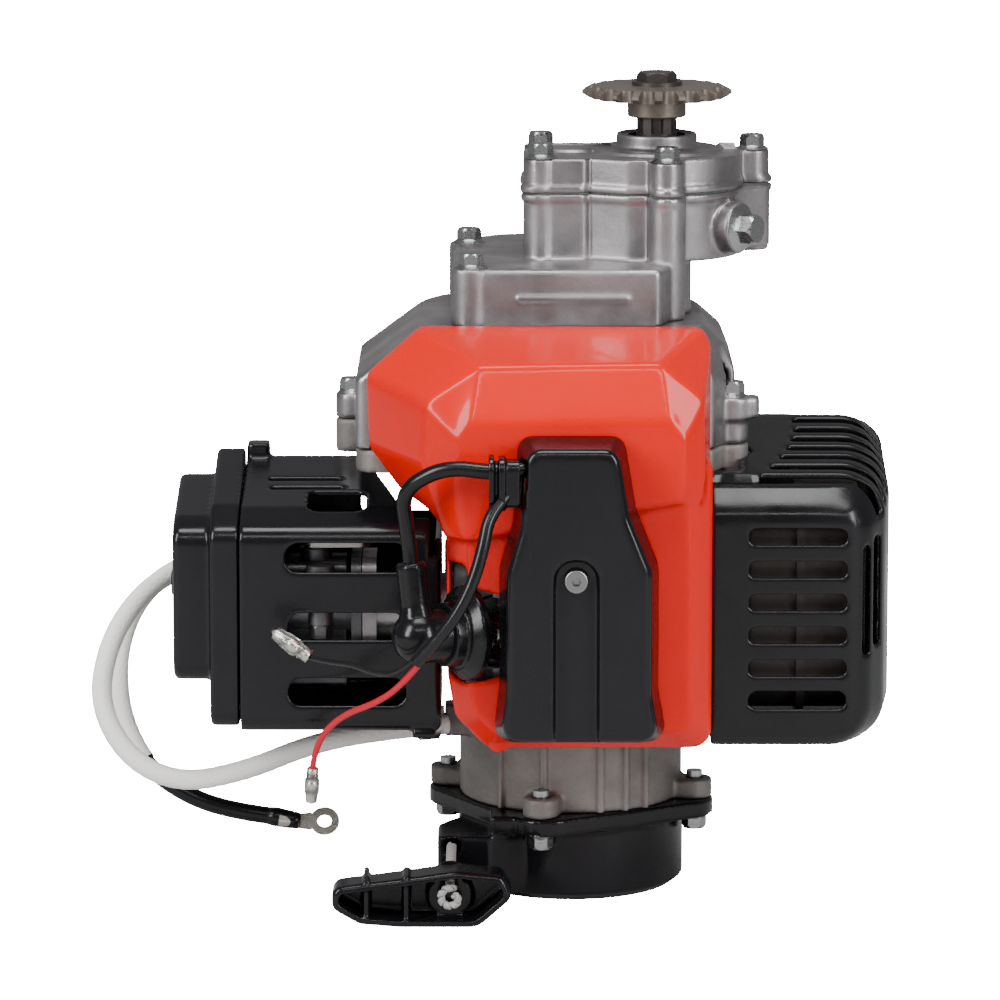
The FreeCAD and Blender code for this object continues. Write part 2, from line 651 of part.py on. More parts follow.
# ---------------------------------------------------------------- ignition
def ignition_coil():
    core = join([box(-16, 16, -70, -63, 181, 191), box(-16, -9, -70, -50.9, 181, 191),
                 box(9, 16, -70, -50.9, 181, 191)])
    core = take(core, [cyl(50.8, 170, 200)])
    body = slab("z", rect(-15, 15, -84, -64), 3, 177, 197)
    foot = [box(-21, -15, -70, -62, FAN_SEAM, 184), box(15, 21, -70, -62, FAN_SEAM, 184)]
    nozzle = bar(4.6, (-6, -82, 180), (-6, -86, 180))
    return join([core, body, nozzle] + foot)


def ht_lead():
    return cord("ht_lead", HT_ROUTE, HT_R)


COVER_SIDE = [(-29.5, 79), (-27, 99), (-27, 142), (-22.3, 158), (-20.3, 189), (17.2, 189), (21.5, 163),
              (29.5, 143), (29.5, 99), (33, 79)]


def coil_cover_block(wall):
    outer = shrink(list(reversed(COVER_SIDE)), wall)
    top = shrink(outer, 3.2)
    radii = [6, 8, 12, 12, 6, 6, 12, 14, 8, 6]
    return loft("y", [(outer, radii, -125.6), (top, radii, -142.0 + wall)])


def coil_cover():
    """Black cover with an arched channel down its middle, over the leads."""
    block = soften(coil_cover_block(0.0), 3.0, at_height("y", -142.0))
    channel = slab("y", [(-7.6, 60), (8.0, 60), (8.0, 147), (-7.6, 147)], [0, 0, 7.6, 7.6], -150, -137.6)
    block = take(block, [soften(channel, 1.0, at_height("y", -137.6))])
    hollow = take(coil_cover_block(PLATE + 0.2),
                  [slab("y", rect(-9.8, 10.2, 60, 149), [0, 0, 9, 9], -150, -135.6)])
    open_back = slab("y", rect(-14, 12, 165, 184), 4, -127.8, -124)
    screw_post = bar(5.2, (0.2, -126, 139.2), (0.2, -137, 139.2))
    body = join([take(block, [hollow]), screw_post])
    cuts = [bar(2.55, (0.2, -150, 139.2), (0.2, -120, 139.2)), box(-34, -15, -140.8, -131.0, 165, 182)]
    leads = [cord("lead room", HT_ROUTE, HT_R + 0.4), cord("sleeve room", SLEEVE_ROUTE, SLEEVE_R + 0.4)]
    return take(body, cuts + [open_back] + leads)


def coil_cover_screw():
    return socket_screw((0.2, -137.6, 139.2), (0, -1, 0), length=15.5)


def lead_grommet():
    """Rubber grommet in the cover's side, with one hole for each lead."""
    body = slab("x", rect(-140.7, -131.1, 165.1, 181.9), 3.5, -26.5, -19.6)
    rings = [slab("x", rect(-142.2, -129.8, 163.6, 183.4), 5, -30.4, -28.6),
             slab("x", rect(-141.9, -130.1, 163.9, 183.1), 4.8, -26.9, -24.6)]
    neck = slab("x", rect(-140.2, -131.6, 165.8, 181.2), 4, -29, -24)
    return take(join([body, neck] + rings), [cord("lead", HT_ROUTE, HT_R),
                                             cord("sleeve", SLEEVE_ROUTE, SLEEVE_R)])


# ---------------------------------------------------------------- shroud
HOOD_WIDE = [(-55, 220), (-74.4, 203), (-73.4, 177), (-62.5, 162), (-46, 150), (47.5, 163), (48.8, 173),
             (48.8, 214), (46, 219.6)]
HOOD_CREASE = [(-33.5, 212), (-53, 199), (-54, 177), (-50, 164), (-46, 150), (45, 163), (46, 172),
               (45.5, 200),
               (29.6, 213)]
HOOD_FRONT = [(-38.4, 192.6), (-40.5, 186), (-41, 177), (-40.5, 164), (-39, 150), (37, 164.5), (38.4, 172),
              (38.4, 186), (33.4, 193.6)]
BODY_SIDE = [(-45.5, 165), (-45.5, 102), (-42.6, 85), (-31, 73.2), (48.8, 73.2), (48.8, 165)]


def hood(wall):
    radii = [3, 6, 6, 6, 3, 3, 3, 3, 4]
    def section(points, height):
        return (shrink(points, wall) if wall else points, radii, height)
    return loft("y", [section(HOOD_WIDE, -72.6), section(HOOD_WIDE, -80), section(HOOD_CREASE, -117.5 + wall),
                      section(HOOD_FRONT, -125 + wall)])


def shroud_body(wall):
    side = list(BODY_SIDE)
    inner = shrink(side, wall) if wall else side
    front = shrink(inner, 8.0)
    body = loft("y", [(inner, 7, -44.0), (inner, 7, -110 + wall), (front, 7, -121 + wall)])
    shoulder = shrink(rect(10, 48.8, 140, 178), wall) if wall else rect(10, 48.8, 140, 178)
    shoulder_front = shrink(shoulder, 8.0)
    return body.fuse(loft("y", [(shoulder, 5, -72.8 - wall), (shoulder, 5, -110 + wall),
                                (shoulder_front, 5, -121 + wall)]))


def shroud():
    """Air guide over the cylinder: a wide faceted hood on the fan side and a deep box below it."""
    outer = join([hood(0.0), shroud_body(0.0)])
    inner = join([hood(PLATE), shroud_body(PLATE)])
    inner = join([inner, slab("y", shrink(BODY_SIDE, PLATE), 5, -46, -43),
                  slab("y", rect(-60, 44, 168, 205), 8, -74, -72)])
    rear = slab("y", [(-52, 217), (-72, 201), (-71, 178), (-61, 165), (-44, 153), (47, 153), (47, 213),
                      (45, 217)],
                4, -80, -72)
    shell = take(outer, [inner, rear])
    tab = slab("y", [(-29.5, 79), (-29.5, 71.5), (-24, 72.5), (-23, 79)], 0.8, -112, -108)
    plug_window = slab("x", rect(-140, -96, 102, 141), 8, -60, -38)
    plug_slot = aim(Part.makeCylinder(17.4, 60), plug_axis_point(20), PLUG_WAY)
    intake_window = slab("x", rect(-86, -40, 94, 138), 6, -52, -40)
    exhaust_window = slab("x", rect(-86, -40, 92, 140), 6, 40, 52)
    lead_hole = bar(5, (-6, -130, 180), (-6, -110, 180))
    cuts = [plug_window, plug_slot, intake_window, exhaust_window, lead_hole,
            bar(2.6, (0.2, -130, 139.2), (0.2, -115, 139.2))]
    return take(join([shell, tab]), cuts)


# ---------------------------------------------------------------- fan housing and flywheel
def fan_shell(wall):
    top = [(-56.5 + wall, -72), (42 - wall, -72), (47 - wall, -50), (47 - wall, 47 - wall),
           (-56.5 + wall, 47 - wall)]
    middle = [(-66 + wall, -72), (47 - wall, -72), (55 - wall, -50), (55 - wall, 57 - wall),
              (-66 + wall, 57 - wall)]
    low, high = [3, 3, 8, 60 - wall, 60 - wall], [3, 3, 8, 46, 46]
    return loft("z", [(fan_outline(-wall), low, FAN_SEAM), (fan_outline(-wall), low, 200 - wall / 2),
                      (middle, [3, 3, 8, 52, 52], 209.5 - wall / 2), (top, high, FAN_TOP - wall)])


CLUTCH_BOLTS = [(-37, -51), (-38, 20), (17, 39)]


def fan_housing():
    body = join([fan_shell(0.0)] + [cyl(6, FAN_SEAM, seat, x, y) for x, y, seat in FAN_BOLTS])
    mouth = slab("y", [(-72, 178), (45, 178), (45, 206), (39, 213), (-54, 213), (-72, 198)], 3, -76, -60)
    bosses = [slab("z", rect(-76, -71.5, -6, 12), 1, FAN_SEAM, 197), cyl(7.6, 183.5, 191.5, 57.5, -54),
              slab("z", rect(50.5, 58, -58, -48), 1, FAN_SEAM, 191.5), slab("z", rect(58, 67.4, -59, -49),
                      3, 184, 191.5),
              slab("z", rect(-16, 0, 60, 64), 1, FAN_SEAM, 197)]
    body = join([take(body, [fan_shell(CAST), mouth])] + bosses)
    posts = [cyl(6, FAN_TOP - 14, FAN_TOP - 1, x, y) for x, y in CLUTCH_BOLTS]
    body = join([body] + posts)
    cuts = [cyl(15, 200, 220)] + [cyl(3.05, 170, 200, x, y) for x, y, seat in FAN_BOLTS]
    cuts += [cyl(5.3, seat, 230, x, y) for x, y, seat in FAN_BOLTS]
    cuts += [cyl(3.05, FAN_TOP - 12, FAN_TOP + 1, x, y) for x, y in CLUTCH_BOLTS]
    cuts += [slab("z", rect(22, 40, -2, 2), 1.9, 210, 220)]
    return take(body, cuts)


def fan_housing_bolts():
    return [bolt((x, y, seat), (0, 0, 1), length=22, flange=5.2) for x, y, seat in FAN_BOLTS]


def flywheel():
    disc = ring(50, 6.02, 178.5, 184)
    hub = ring(16, 6.02, 178.5, 204)
    rim = ring(50, 44, 184, 192)
    blades = around(slab("z", [(15, -1), (40, -5), (48.5, -9), (48.5, -7), (40, -3), (15, 1)], 0, 183.5,
                         199), 16)
    return take(join([disc, hub, rim] + blades),
                [ring(44, 37.9, 184, 191.6).common(wedge(60, 73, 109, 180, 200))])


def flywheel_magnets():
    arcs = []
    for start in (74, 94):
        sector = ring(43.9, 38, 184.1, 191.5).common(wedge(60, start, start + 14, 180, 200))
        arcs.append(sector)
    return arcs


def wedge(reach, start, end, z0, z1):
    a, b = math.radians(start), math.radians(end)
    corners = [V(0, 0, z0), V(reach * math.cos(a), reach * math.sin(a), z0),
               V(reach * math.cos(b), reach * math.sin(b), z0)]
    return Part.Face(Part.makePolygon(corners + [corners[0]])).extrude(V(0, 0, z1 - z0))


# ---------------------------------------------------------------- clutch
SHOE_PIVOT_R = 27.0


def clutch_hub():
    arms = slab("z", rect(-SHOE_PIVOT_R, SHOE_PIVOT_R, -5, 5), 4.9, 220, 222.6)
    pins = [cyl(2.6, 220, 233.5, x, 0) for x in (-SHOE_PIVOT_R, SHOE_PIVOT_R)]
    return take(join([arms, cyl(11, 220, 231)] + pins), [cyl(SHAFT_END + 0.01, 200, 240)])


def clutch_shoe():
    """Half-moon shoe on the +X pin, with its lining toward the drum."""
    body = ring(35.2, 19, 223.0, 231.0).common(wedge(80, -8, 60, 220, 240).fuse(wedge(80, 59, 150, 220, 240)))
    body = join([body, cyl(6, 223, 231, SHOE_PIVOT_R, 0).common(cyl(35.2, 220, 240))])
    return take(body, [cyl(2.6 + RUNNING, 220, 240, SHOE_PIVOT_R, 0), cyl(13, 220, 240),
                       slab("z", rect(-36, -13, -4, 9), 0, 220, 240)])


def clutch_drum():
    cup = join([ring(38.5, 36, 219.4, 235.0), cyl(38.5, 234.0, 236.0)])
    neck = cyl(7.5, 235, 239)
    shaft = cyl(5, 235, 269)
    return join([cup, neck, shaft, pinion()])


def pinion():
    pitch = MODULE * PINION_TEETH / 2
    phase = math.atan2(OUT_Y, OUT_X)
    return involute_gear(PINION_TEETH, pitch + MODULE, 5.7, GEAR_LOW - 0.5, GEAR_HIGH + 0.5, phase)


# ---------------------------------------------------------------- gearbox
COVER_BOLTS = [(-11.6, -25), (-11.4, 13), (34, -37.5), (66.5, 5), (34, 34)]


def case_outline_upper(z0, z1):
    gear_wall = cyl(31, z0, z1, OUT_X, OUT_Y)
    pinion_wall = cyl(18, z0, z1)
    bridge = slab("z", [(-10, -19), (20, -34.5), (30, -34.5), (30, 28), (20, 28), (-10, 19)],
                  [10, 8, 0, 0, 8, 10], z0, z1)
    columns = [cyl(6.3, z0, z1, x, y) for x, y in COVER_BOLTS]
    webs = [slab("z", [(-17, -19), (-10, -30), (6, -30), (6, -10)], 3, z0, z1),
            slab("z", [(-17, 18), (-17, 8), (6, 6), (4, 20)], 3, z0, z1),
            slab("z", rect(27.8, 40.2, -38, 34), 0, z0, z1),
            slab("z", rect(40, 68, -1.3, 11.2), 0, z0, z1)]
    return join([gear_wall, pinion_wall, bridge] + columns + webs)


def case_hollow(z0, z1):
    return [cyl(27.4, z0, z1, OUT_X, OUT_Y), cyl(12.2, z0, z1), slab("z", rect(0, 22, -9, 9), 0, z0, z1)]


def gearbox_case():
    low_outline = [(-43.5, -57), (31.5, -57), (36, -42), (43.5, -20), (43.5, 30), (24, 47), (-26, 47),
                   (-43.5, 30)]
    low = slab("z", low_outline, [8, 3, 3, 8, 12, 16, 16, 12], FAN_TOP, STEP_TOP)
    low = soften(low, 2.0, at_height("z", STEP_TOP))
    upper = case_outline_upper(STEP_TOP - 0.5, CASE_SEAM)
    rib = box(-20.2, 19.8, -58.1, -56, 226.6, 228.2)
    tower = cyl(6.9, FAN_TOP, CASE_SEAM, 34, -37.5)
    block = slab("z", [(44, -23), (56, -19), (72.8, -6), (72.8, 5), (44, 5)], 4, 240, CASE_SEAM)
    drain = aim(join([Part.makeCylinder(9.5, 12)]), (OUT_X + 20.5, OUT_Y - 13, 248.5), (0.83, -0.55, 0))
    columns = [cyl(7.4, FAN_TOP, STEP_TOP, x, y) for x, y in CLUTCH_BOLTS]
    ridge = ring_of(case_outline_upper(CASE_SEAM - 2.4, CASE_SEAM), 1.2)
    body = join([low, tower, upper, rib, block, drain, ridge] + columns)
    cuts = [cyl(39.4, FAN_TOP - 1, 236.6), cyl(11.02, 237.0, 244.9), cyl(8.2, 236, 246),
            cyl(14.02, 239.0, 246.0, OUT_X, OUT_Y)]
    cuts += case_hollow(245.0, CASE_SEAM + 1)
    cuts += [cyl(3.05, 243, CASE_SEAM + 1, x, y) for x, y in COVER_BOLTS]
    cuts += [cyl(3.05, FAN_TOP - 1, STEP_TOP + 1, x, y) for x, y in CLUTCH_BOLTS]
    cuts += [oil_hole()]
    return take(body, cuts)


def ring_of(shape, grow):
    """The same prism, a little larger all round."""
    bounds = shape.BoundBox
    centre = V((bounds.XMin + bounds.XMax) / 2, (bounds.YMin + bounds.YMax) / 2, 0)
    matrix = FreeCAD.Matrix()
    matrix.move(centre * -1)
    matrix.scale(1 + 2 * grow / bounds.XLength, 1 + 2 * grow / bounds.YLength, 1)
    matrix.move(centre)
    return shape.transformGeometry(matrix)


def oil_hole():
    return aim(Part.makeCylinder(5.02, 40), (OUT_X + 14, OUT_Y - 8.7, 248.5), (0.83, -0.55, 0))


def oil_bolt():
    way = V(0.83, -0.55, 0).normalize()
    seat = V(OUT_X + 20.5, OUT_Y - 13, 248.5) + way * 12
    return bolt(seat, way, size=10, across=10, length=8, head=7, flange=8.7)


def gearbox_gasket():
    body = case_outline_upper(CASE_SEAM, CASE_SEAM + 0.5)
    cuts = case_hollow(CASE_SEAM - 1, CASE_SEAM + 2) + [cyl(3.3, 250, 270, x, y) for x, y in COVER_BOLTS]
    return take(body, cuts)


def gearbox_cover():
    low = CASE_SEAM + 0.5
    plate = soften(case_outline_upper(low, COVER_TOP), 0.8, at_height("z", COVER_TOP))
    boss = soften(cyl(14.85, COVER_TOP - 1, BOSS_TOP, OUT_X, OUT_Y), 0.8, at_height("z", BOSS_TOP))
    raised = soften(cyl(24, COVER_TOP - 1, COVER_TOP + 1.6, OUT_X, OUT_Y), 1.2,
                    at_height("z", COVER_TOP + 1.6))
    cap = soften(cyl(12, COVER_TOP - 1, COVER_TOP + 1.6), 1.2, at_height("z", COVER_TOP + 1.6))
    ridge = ring_of(case_outline_upper(low, low + 2.4), 1.2)
    spokes = [slab("z", rect(x0, x1, y0, y1), 0.8, COVER_TOP - 1, COVER_TOP + 2.6)
              for x0, x1, y0, y1 in ((-8, 14, -1.2, 1.2), (54, 62, 1, 3.4), (30, 32.4, 12, 28))]
    body = join([plate, boss, raised, cap, ridge] + spokes)
    cuts = case_hollow(low - 1, 269.9)[:1] + [cyl(11.02, low - 1, 269.0),
                                              cyl(14.02, 265.9, 273.1, OUT_X, OUT_Y)]
    cuts += [cyl(13.27, 272, 290, OUT_X, OUT_Y), slab("z", rect(0, 22, -9, 9), 0, low - 1, 263.5)]
    cuts += [cyl(3.05, 250, 290, x, y) for x, y in COVER_BOLTS]
    cuts += [cyl(7.2, COVER_TOP, COVER_TOP + 4, x, y) for x, y in COVER_BOLTS]
    return take(join([take(body, cuts), ring(16.4, 14.02, 265.9, 270.5, OUT_X, OUT_Y)]), [])


def gearbox_cover_bolts():
    return [bolt((x, y, COVER_TOP), (0, 0, 1), length=30) for x, y in COVER_BOLTS]


def clutch_case_bolts():
    return [bolt((x, y, STEP_TOP), (0, 0, 1), length=31) for x, y in CLUTCH_BOLTS]


def gearbox_bearings():
    return [ring(11, 5 + RUNNING, 239.2, 244.9), ring(11, 5 + RUNNING, 262.8, 268.8),
            ring(14, JOURNAL + RUNNING, 239.2, 245.9, OUT_X, OUT_Y), ring(14, JOURNAL + RUNNING, 266, 273,
                    OUT_X, OUT_Y)]


def output_seal():
    return ring(13.25, JOURNAL + RUNNING, 273.5, 279.4, OUT_X, OUT_Y)


def output_circlip():
    clip = ring(13.25, 10.6, 279.6, 280.8, OUT_X, OUT_Y)
    return take(clip, [box(OUT_X - 2.5, OUT_X + 2.5, OUT_Y - 15, OUT_Y - 5, 279, 282)])


def spline_section(z0, z1, grow=0.0):
    core = cyl(6.2 + grow, z0, z1, OUT_X, OUT_Y)
    key = box(OUT_X, OUT_X + JOURNAL - 0.2 + grow, OUT_Y - 1.6 - grow, OUT_Y + 1.6 + grow, z0, z1)
    return join([core] + around(key, 6, OUT_X, OUT_Y))


def output_shaft():
    return join([cyl(JOURNAL, 239.4, 281.5, OUT_X, OUT_Y), spline_section(281.4,
            SPROCKET_Z + SPROCKET_WIDE - 0.3)])


def output_gear():
    wheel = involute_gear(GEAR_TEETH, GEAR_TIP, MODULE * GEAR_TEETH / 2 - 1.6, GEAR_LOW, GEAR_HIGH,
                          math.pi + math.atan2(OUT_Y, OUT_X) + math.pi / GEAR_TEETH)
    wheel.translate(V(OUT_X, OUT_Y, 0))
    cuts = [cyl(JOURNAL + 0.01, 240, 262, OUT_X, OUT_Y)] + around(cyl(3.2, 240, 262, OUT_X + 15, OUT_Y), 6,
                                                                  OUT_X, OUT_Y)
    return take(wheel, cuts)


def sprocket():
    middle = SPROCKET_Z + SPROCKET_WIDE / 2
    disc = join([cyl(27.6, middle - 0.6, middle + 0.6, OUT_X, OUT_Y),
                 Part.makeCone(24.4, 27.6, 1.7, V(OUT_X, OUT_Y, SPROCKET_Z)),
                 Part.makeCone(27.6, 24.4, 1.7, V(OUT_X, OUT_Y, middle + 0.6))])
    seats = around(cyl(ROLLER_R, 290, 302, OUT_X + SPROCKET_PR, OUT_Y), SPROCKET_TEETH, OUT_X, OUT_Y, 9)
    mouths = around(Part.Face(Part.makePolygon([V(OUT_X + SPROCKET_PR - 1.2, OUT_Y - 2.35, 290),
                                                V(OUT_X + 30, OUT_Y - 3.7, 290),
                                                V(OUT_X + 30, OUT_Y + 3.7,
                                                  290), V(OUT_X + SPROCKET_PR - 1.2, OUT_Y + 2.35, 290),
                                                V(OUT_X + SPROCKET_PR - 1.2, OUT_Y - 2.35,
                                                  290)])).extrude(V(0, 0, 12)),
                    SPROCKET_TEETH, OUT_X, OUT_Y, 9)
    hub = soften(cyl(10.8, 287.4, SPROCKET_Z + 1, OUT_X, OUT_Y), 0.8, at_height("z", 287.4))
    body = take(join([disc, hub]), seats + mouths)
    return take(body, [spline_section(280, 302, 0.03)])


def sprocket_bolt():
    top = SPROCKET_Z + SPROCKET_WIDE
    bolt_shape = join([hexagon(13, 5.0), Part.makeCylinder(9.2, 1.5)])
    return aim(bolt_shape, (OUT_X, OUT_Y, top), (0, 0, 1))


# ---------------------------------------------------------------- intake and air box
def intake_manifold():
    axis = (PORT_Y, CRANK_Z)
    tube = pipe(12.5, 8, (-76, *axis), (-38.4, *axis))
    flange = slab("x", rect(PORT_Y - 12.5, PORT_Y + 12.5, CRANK_Z - 18, CRANK_Z + 18), 5, -43, -38.4)
    plate = slab("x", rect(PORT_Y - 14, PORT_Y + 14, CRANK_Z - 20, CRANK_Z + 20), 5, -76, -71)
    body = join([tube, flange, plate])
    cuts = [bar(8, (-80, *axis), (-30, *axis))]
    cuts += [bar(2.6, (-50, PORT_Y, CRANK_Z + z), (-30, PORT_Y, CRANK_Z + z)) for z in (13.6, -13.6)]
    return take(body, cuts)


def carburetor_body():
    axis = (PORT_Y, CRANK_Z)
    core = carburetor_core()
    block = slab("x", rect(BARREL_BACK, PORT_Y + 13, CRANK_Z - 20, CRANK_Z + 18), 3, -104, -82)
    flanges = [slab("x", rect(PORT_Y - 14, PORT_Y + 14, CRANK_Z - 20, CRANK_Z + 20), 5, -80, -76.4),
               slab("x", rect(PORT_Y - 15, PORT_Y + 15, CRANK_Z - 16, CRANK_Z + 16), 5, -113.5, -108)]
    spindle_boss = cyl(6, CRANK_Z + 10, CRANK_Z + 22, -93, PORT_Y)
    pump = slab("x", rect(PORT_Y - 8, PORT_Y + 12, 88, 98), 2, -104, -82)
    body = join([core, block, spindle_boss, pump] + flanges)
    return take(body, [bar(7.5, (-120, *axis), (-70, *axis)),
                       cyl(3.05, CRANK_Z + 9, CRANK_Z + 23, -93, PORT_Y)])


def carburetor_barrel():
    """Black needle barrel at the front of the carburettor, with its knurled foot."""
    front = box(-100, -80, -90, BARREL_BACK - 0.05, 100, 140)
    barrel = join([cyl(4.4, 112, 132, BARREL_X, BARREL_Y), cyl(5.2, 128, 133.5, BARREL_X,
                                                               BARREL_Y)]).common(front)
    return take(barrel, [carburetor_core(0.05)])


def barrel_nut():
    nut = hexagon(7, 5)
    nut.translate(V(BARREL_X, BARREL_Y, 106.9))
    return take(nut.common(box(-100, -80, -92, BARREL_BACK - 0.05, 100, 140)), [carburetor_core(0.05)])


def carburetor_core(grow=0.0):
    return bar(10.5 + grow, (-110, PORT_Y, CRANK_Z), (-76.4, PORT_Y, CRANK_Z))


def throttle_lever():
    arm = slab("z", [(-97, PORT_Y - 4), (-76, PORT_Y - 3), (-72, PORT_Y), (-76, PORT_Y + 3),
                     (-97, PORT_Y + 4)], 2.9,
               CRANK_Z + 22.4, CRANK_Z + 24.6)
    spindle = cyl(3, CRANK_Z + 11, CRANK_Z + 24, -93, PORT_Y)
    lug = cyl(2.5, CRANK_Z + 24, CRANK_Z + 28, -75.8, PORT_Y)
    return join([arm, spindle, lug])


def air_profile(grow=0.0):
    """Side outline (y, z) of the air box: sloping top, flat front."""
    return [(-85 + grow, 73 + grow), (AIR_BACK - grow, 73 + grow), (AIR_BACK - grow, 163.6 - grow),
            (-70, 153.5 - grow),
            (-85 + grow, 147 - grow)]


def air_box():
    radii = [7, 5, 7, 6, 7]
    outer = slab("x", air_profile(), radii, AIR_X0, AIR_X1)
    outer = soften(outer, 2.2, at_height("x", AIR_X1))
    inner = slab("x", air_profile(2.4), [5, 3, 5, 4, 5], AIR_X0 - 1, AIR_X1 - 2.4)
    body = take(outer, [inner])
    seat = pipe(26, 16, (-116.5, PORT_Y + 8, CRANK_Z), (-114, PORT_Y + 8, CRANK_Z))
    tab = slab("z", rect(AIR_X0 + 0.2, AIR_X0 + 8.5, -16, AIR_BACK - 0.2), 1.5, 158, 167.4)
    clip = slab("x", rect(-84.5, -74, 70.9, 74), 1.2, -58, -50)
    body = join([body, tab, clip])
    front_slots = [((-103.5, -59.5), (132, 142.6)), ((-102.5, -60.5), (107.3, 117.2)),
                   ((-102.5, -60.5), (83.2, 93.4))]
    cuts = [slab("y", rect(x0, x1, z0, z1), 4.6, -90, -80) for (x0, x1), (z0, z1) in front_slots]
    cuts += [slab("z", rect(-96, -75, -72, -52), 4, 140, 175)]
    cuts += [box(-110, -83, -50, -46.8, 150, 175), box(-111, -84, -40, -36.8, 150, 175)]
    cuts += [slab("z", [(-60, -76), (-44, -76), (-44, 2), (-80, 2)], 3, 141, 175)]
    cuts += [slab("x", rect(-81, -50, 93, 139), 8, -52, -40)]
    cuts += [bar(13.5, (AIR_X1 - 4, -88, 150), (AIR_X1 + 3, -88, 150)).common(box(-60, -40, -110, -70, 130,
            160))]
    return take(body, cuts)


def air_filter_cover():
    """Two-step end cap over the filter element."""
    step = [(-83.4, 74.6), (-6.6, 74.6), (-6.6, 166.5), (-70, 154.2), (-83.4, 146.5)]
    first = slab("x", step, [6, 5, 6, 5, 6], -131, AIR_X0 - 0.4)
    second = slab("x", [(-76, 90), (-12, 90), (-12, 158), (-66, 149.5), (-76, 145)], 7, -144.6, -130)
    body = join([soften(first, 1.8, at_height("x", -131)), soften(second, 2.4, at_height("x", -144.6))])
    hollow = [slab("x", air_profile(4.0), [4, 3, 4, 3, 4], -128.8, AIR_X0 + 1),
              slab("x", [(-73.6, 92.4), (-14.4, 92.4), (-14.4, 150.4), (-65.5, 146.6), (-73.6, 143)], 5,
                   -142.2, -128)]
    slots = [slab("y", rect(-139, -134, 100 + 9 * i, 104.5 + 9 * i), 2.2, -16, -8) for i in range(5)]
    cuts = [bar(3.1, (-150, -45, 121), (-140, -45, 121)), bar(3.05, (-125, -12, 121), (-125, 0, 121))]
    return take(body, hollow + slots + cuts)


def air_filter_knob():
    knob = join([bar(5, (-146.6, -45, 121), (-145.0, -45, 121)), bar(3, (-146, -45, 121), (-122, -45, 121))])
    return soften(knob, 0.8, at_height("x", -146.6))


def air_filter_foam():
    body = slab("x", [(-72, 94), (-17, 94), (-17, 149), (-64, 145), (-72, 141)], 5, -141.5, -121)
    return take(body, [bar(3.6, (-150, -45, 121), (-110, -45, 121))])


def choke_lever():
    low = AIR_BACK + 0.6
    arm = slab("y", [(-128, 117), (-122, 117), (-119.5, 143), (-125, 146), (-130.5, 143)], 2.6, low,
               low + 2.6)
    return join([arm, bar(3, (-125, low - 4, 121), (-125, low + 2.6, 121))])


# ---------------------------------------------------------------- exhaust
def exhaust_outline():
    return rect(PORT_Y - 13, PORT_Y + 13, CRANK_Z - EXHAUST_BOLT - 6, CRANK_Z + EXHAUST_BOLT + 6)


def exhaust_gasket():
    plate = slab("x", exhaust_outline(), 4, 38, 39)
    cuts = [bar(9, (30, PORT_Y, CRANK_Z), (50, PORT_Y, CRANK_Z))]
    cuts += [bar(2.8, (30, PORT_Y, CRANK_Z + z), (50, PORT_Y, CRANK_Z + z))
             for z in (EXHAUST_BOLT, -EXHAUST_BOLT)]
    return take(plate, cuts)


def muffler():
    """Stamped box with a rolled seam, a flanged inlet and a small tail pipe."""
    outer = slab("x", rect(-82, -12, 80, 158), 14, 59, 105)
    outer = soften(outer, 5, lambda e: at_height("x", 59)(e) or at_height("x", 105)(e))
    seam = slab("x", rect(-84, -10, 78, 160), 15, 80, 83)
    neck = bar(12, (39, PORT_Y, CRANK_Z), (61, PORT_Y, CRANK_Z))
    flange = slab("x", exhaust_outline(), 4, 39, 43.5)
    tail = bar(7, (88, -14, 96), (88, 6, 96))
    inner = slab("x", rect(-80.4, -13.6, 81.6, 156.4), 12, 60.6, 103.4)
    body = take(join([outer, seam, neck, flange, tail]), [inner,
                                                          bar(9, (30, PORT_Y, CRANK_Z),
                                                              (62, PORT_Y, CRANK_Z)),
                                                          bar(5.6, (88, -20, 96), (88, 10, 96))])
    cuts = [bar(2.8, (30, PORT_Y, CRANK_Z + z), (48, PORT_Y, CRANK_Z + z))
            for z in (EXHAUST_BOLT, -EXHAUST_BOLT)]
    return take(body, cuts)


def muffler_profile(grow=0.0):
    return [(-92 + grow, 69 + grow), (-3 - grow, 69 + grow), (-3 - grow, 181 - grow),
            (-84 + grow, 165.5 - grow),
            (-92 + grow, 160 - grow)]


# x, y outline seen from above, run anticlockwise; the outer front corner is cut away and rounded
GUARD_PLAN = [(MUFFLER_X0, -92), (103.5, -92), (112, -77), (MUFFLER_X1, -52), (MUFFLER_X1, -3),
              (MUFFLER_X0, -3)]
# y of each top slot, x of its inner end and z of its lower end
TOP_SLOTS = [(-79.5, 66.5, 153.5), (-69.5, 71, 156), (-60, 75, 158), (-50.5, 77.6, 158), (-41, 79.6, 158),
             (-31.5, 81, 158), (-22, 81, 158), (-12.5, 81, 158)]


def guard_block(wall):
    """Meeting of the side, top and front outlines; a wall is taken off everywhere but the inner side."""
    start = MUFFLER_X0 - 10 * wall
    plan = [(min(x, start) if x == MUFFLER_X0 else x, y) for x, y in GUARD_PLAN]
    front = rect(start, MUFFLER_X1, 69, 181)
    plan, front = (shrink(plan, wall), shrink(front, wall)) if wall else (plan, front)
    side = slab("x", muffler_profile(wall), [8, 5, 12, 12, 14], start, MUFFLER_X1)
    return side.common(slab("z", plan, [0, 13, 16, 24, 3, 0], 60, 190)).common(slab("y", front,
            [0, 9, 13, 0], -100, 0))


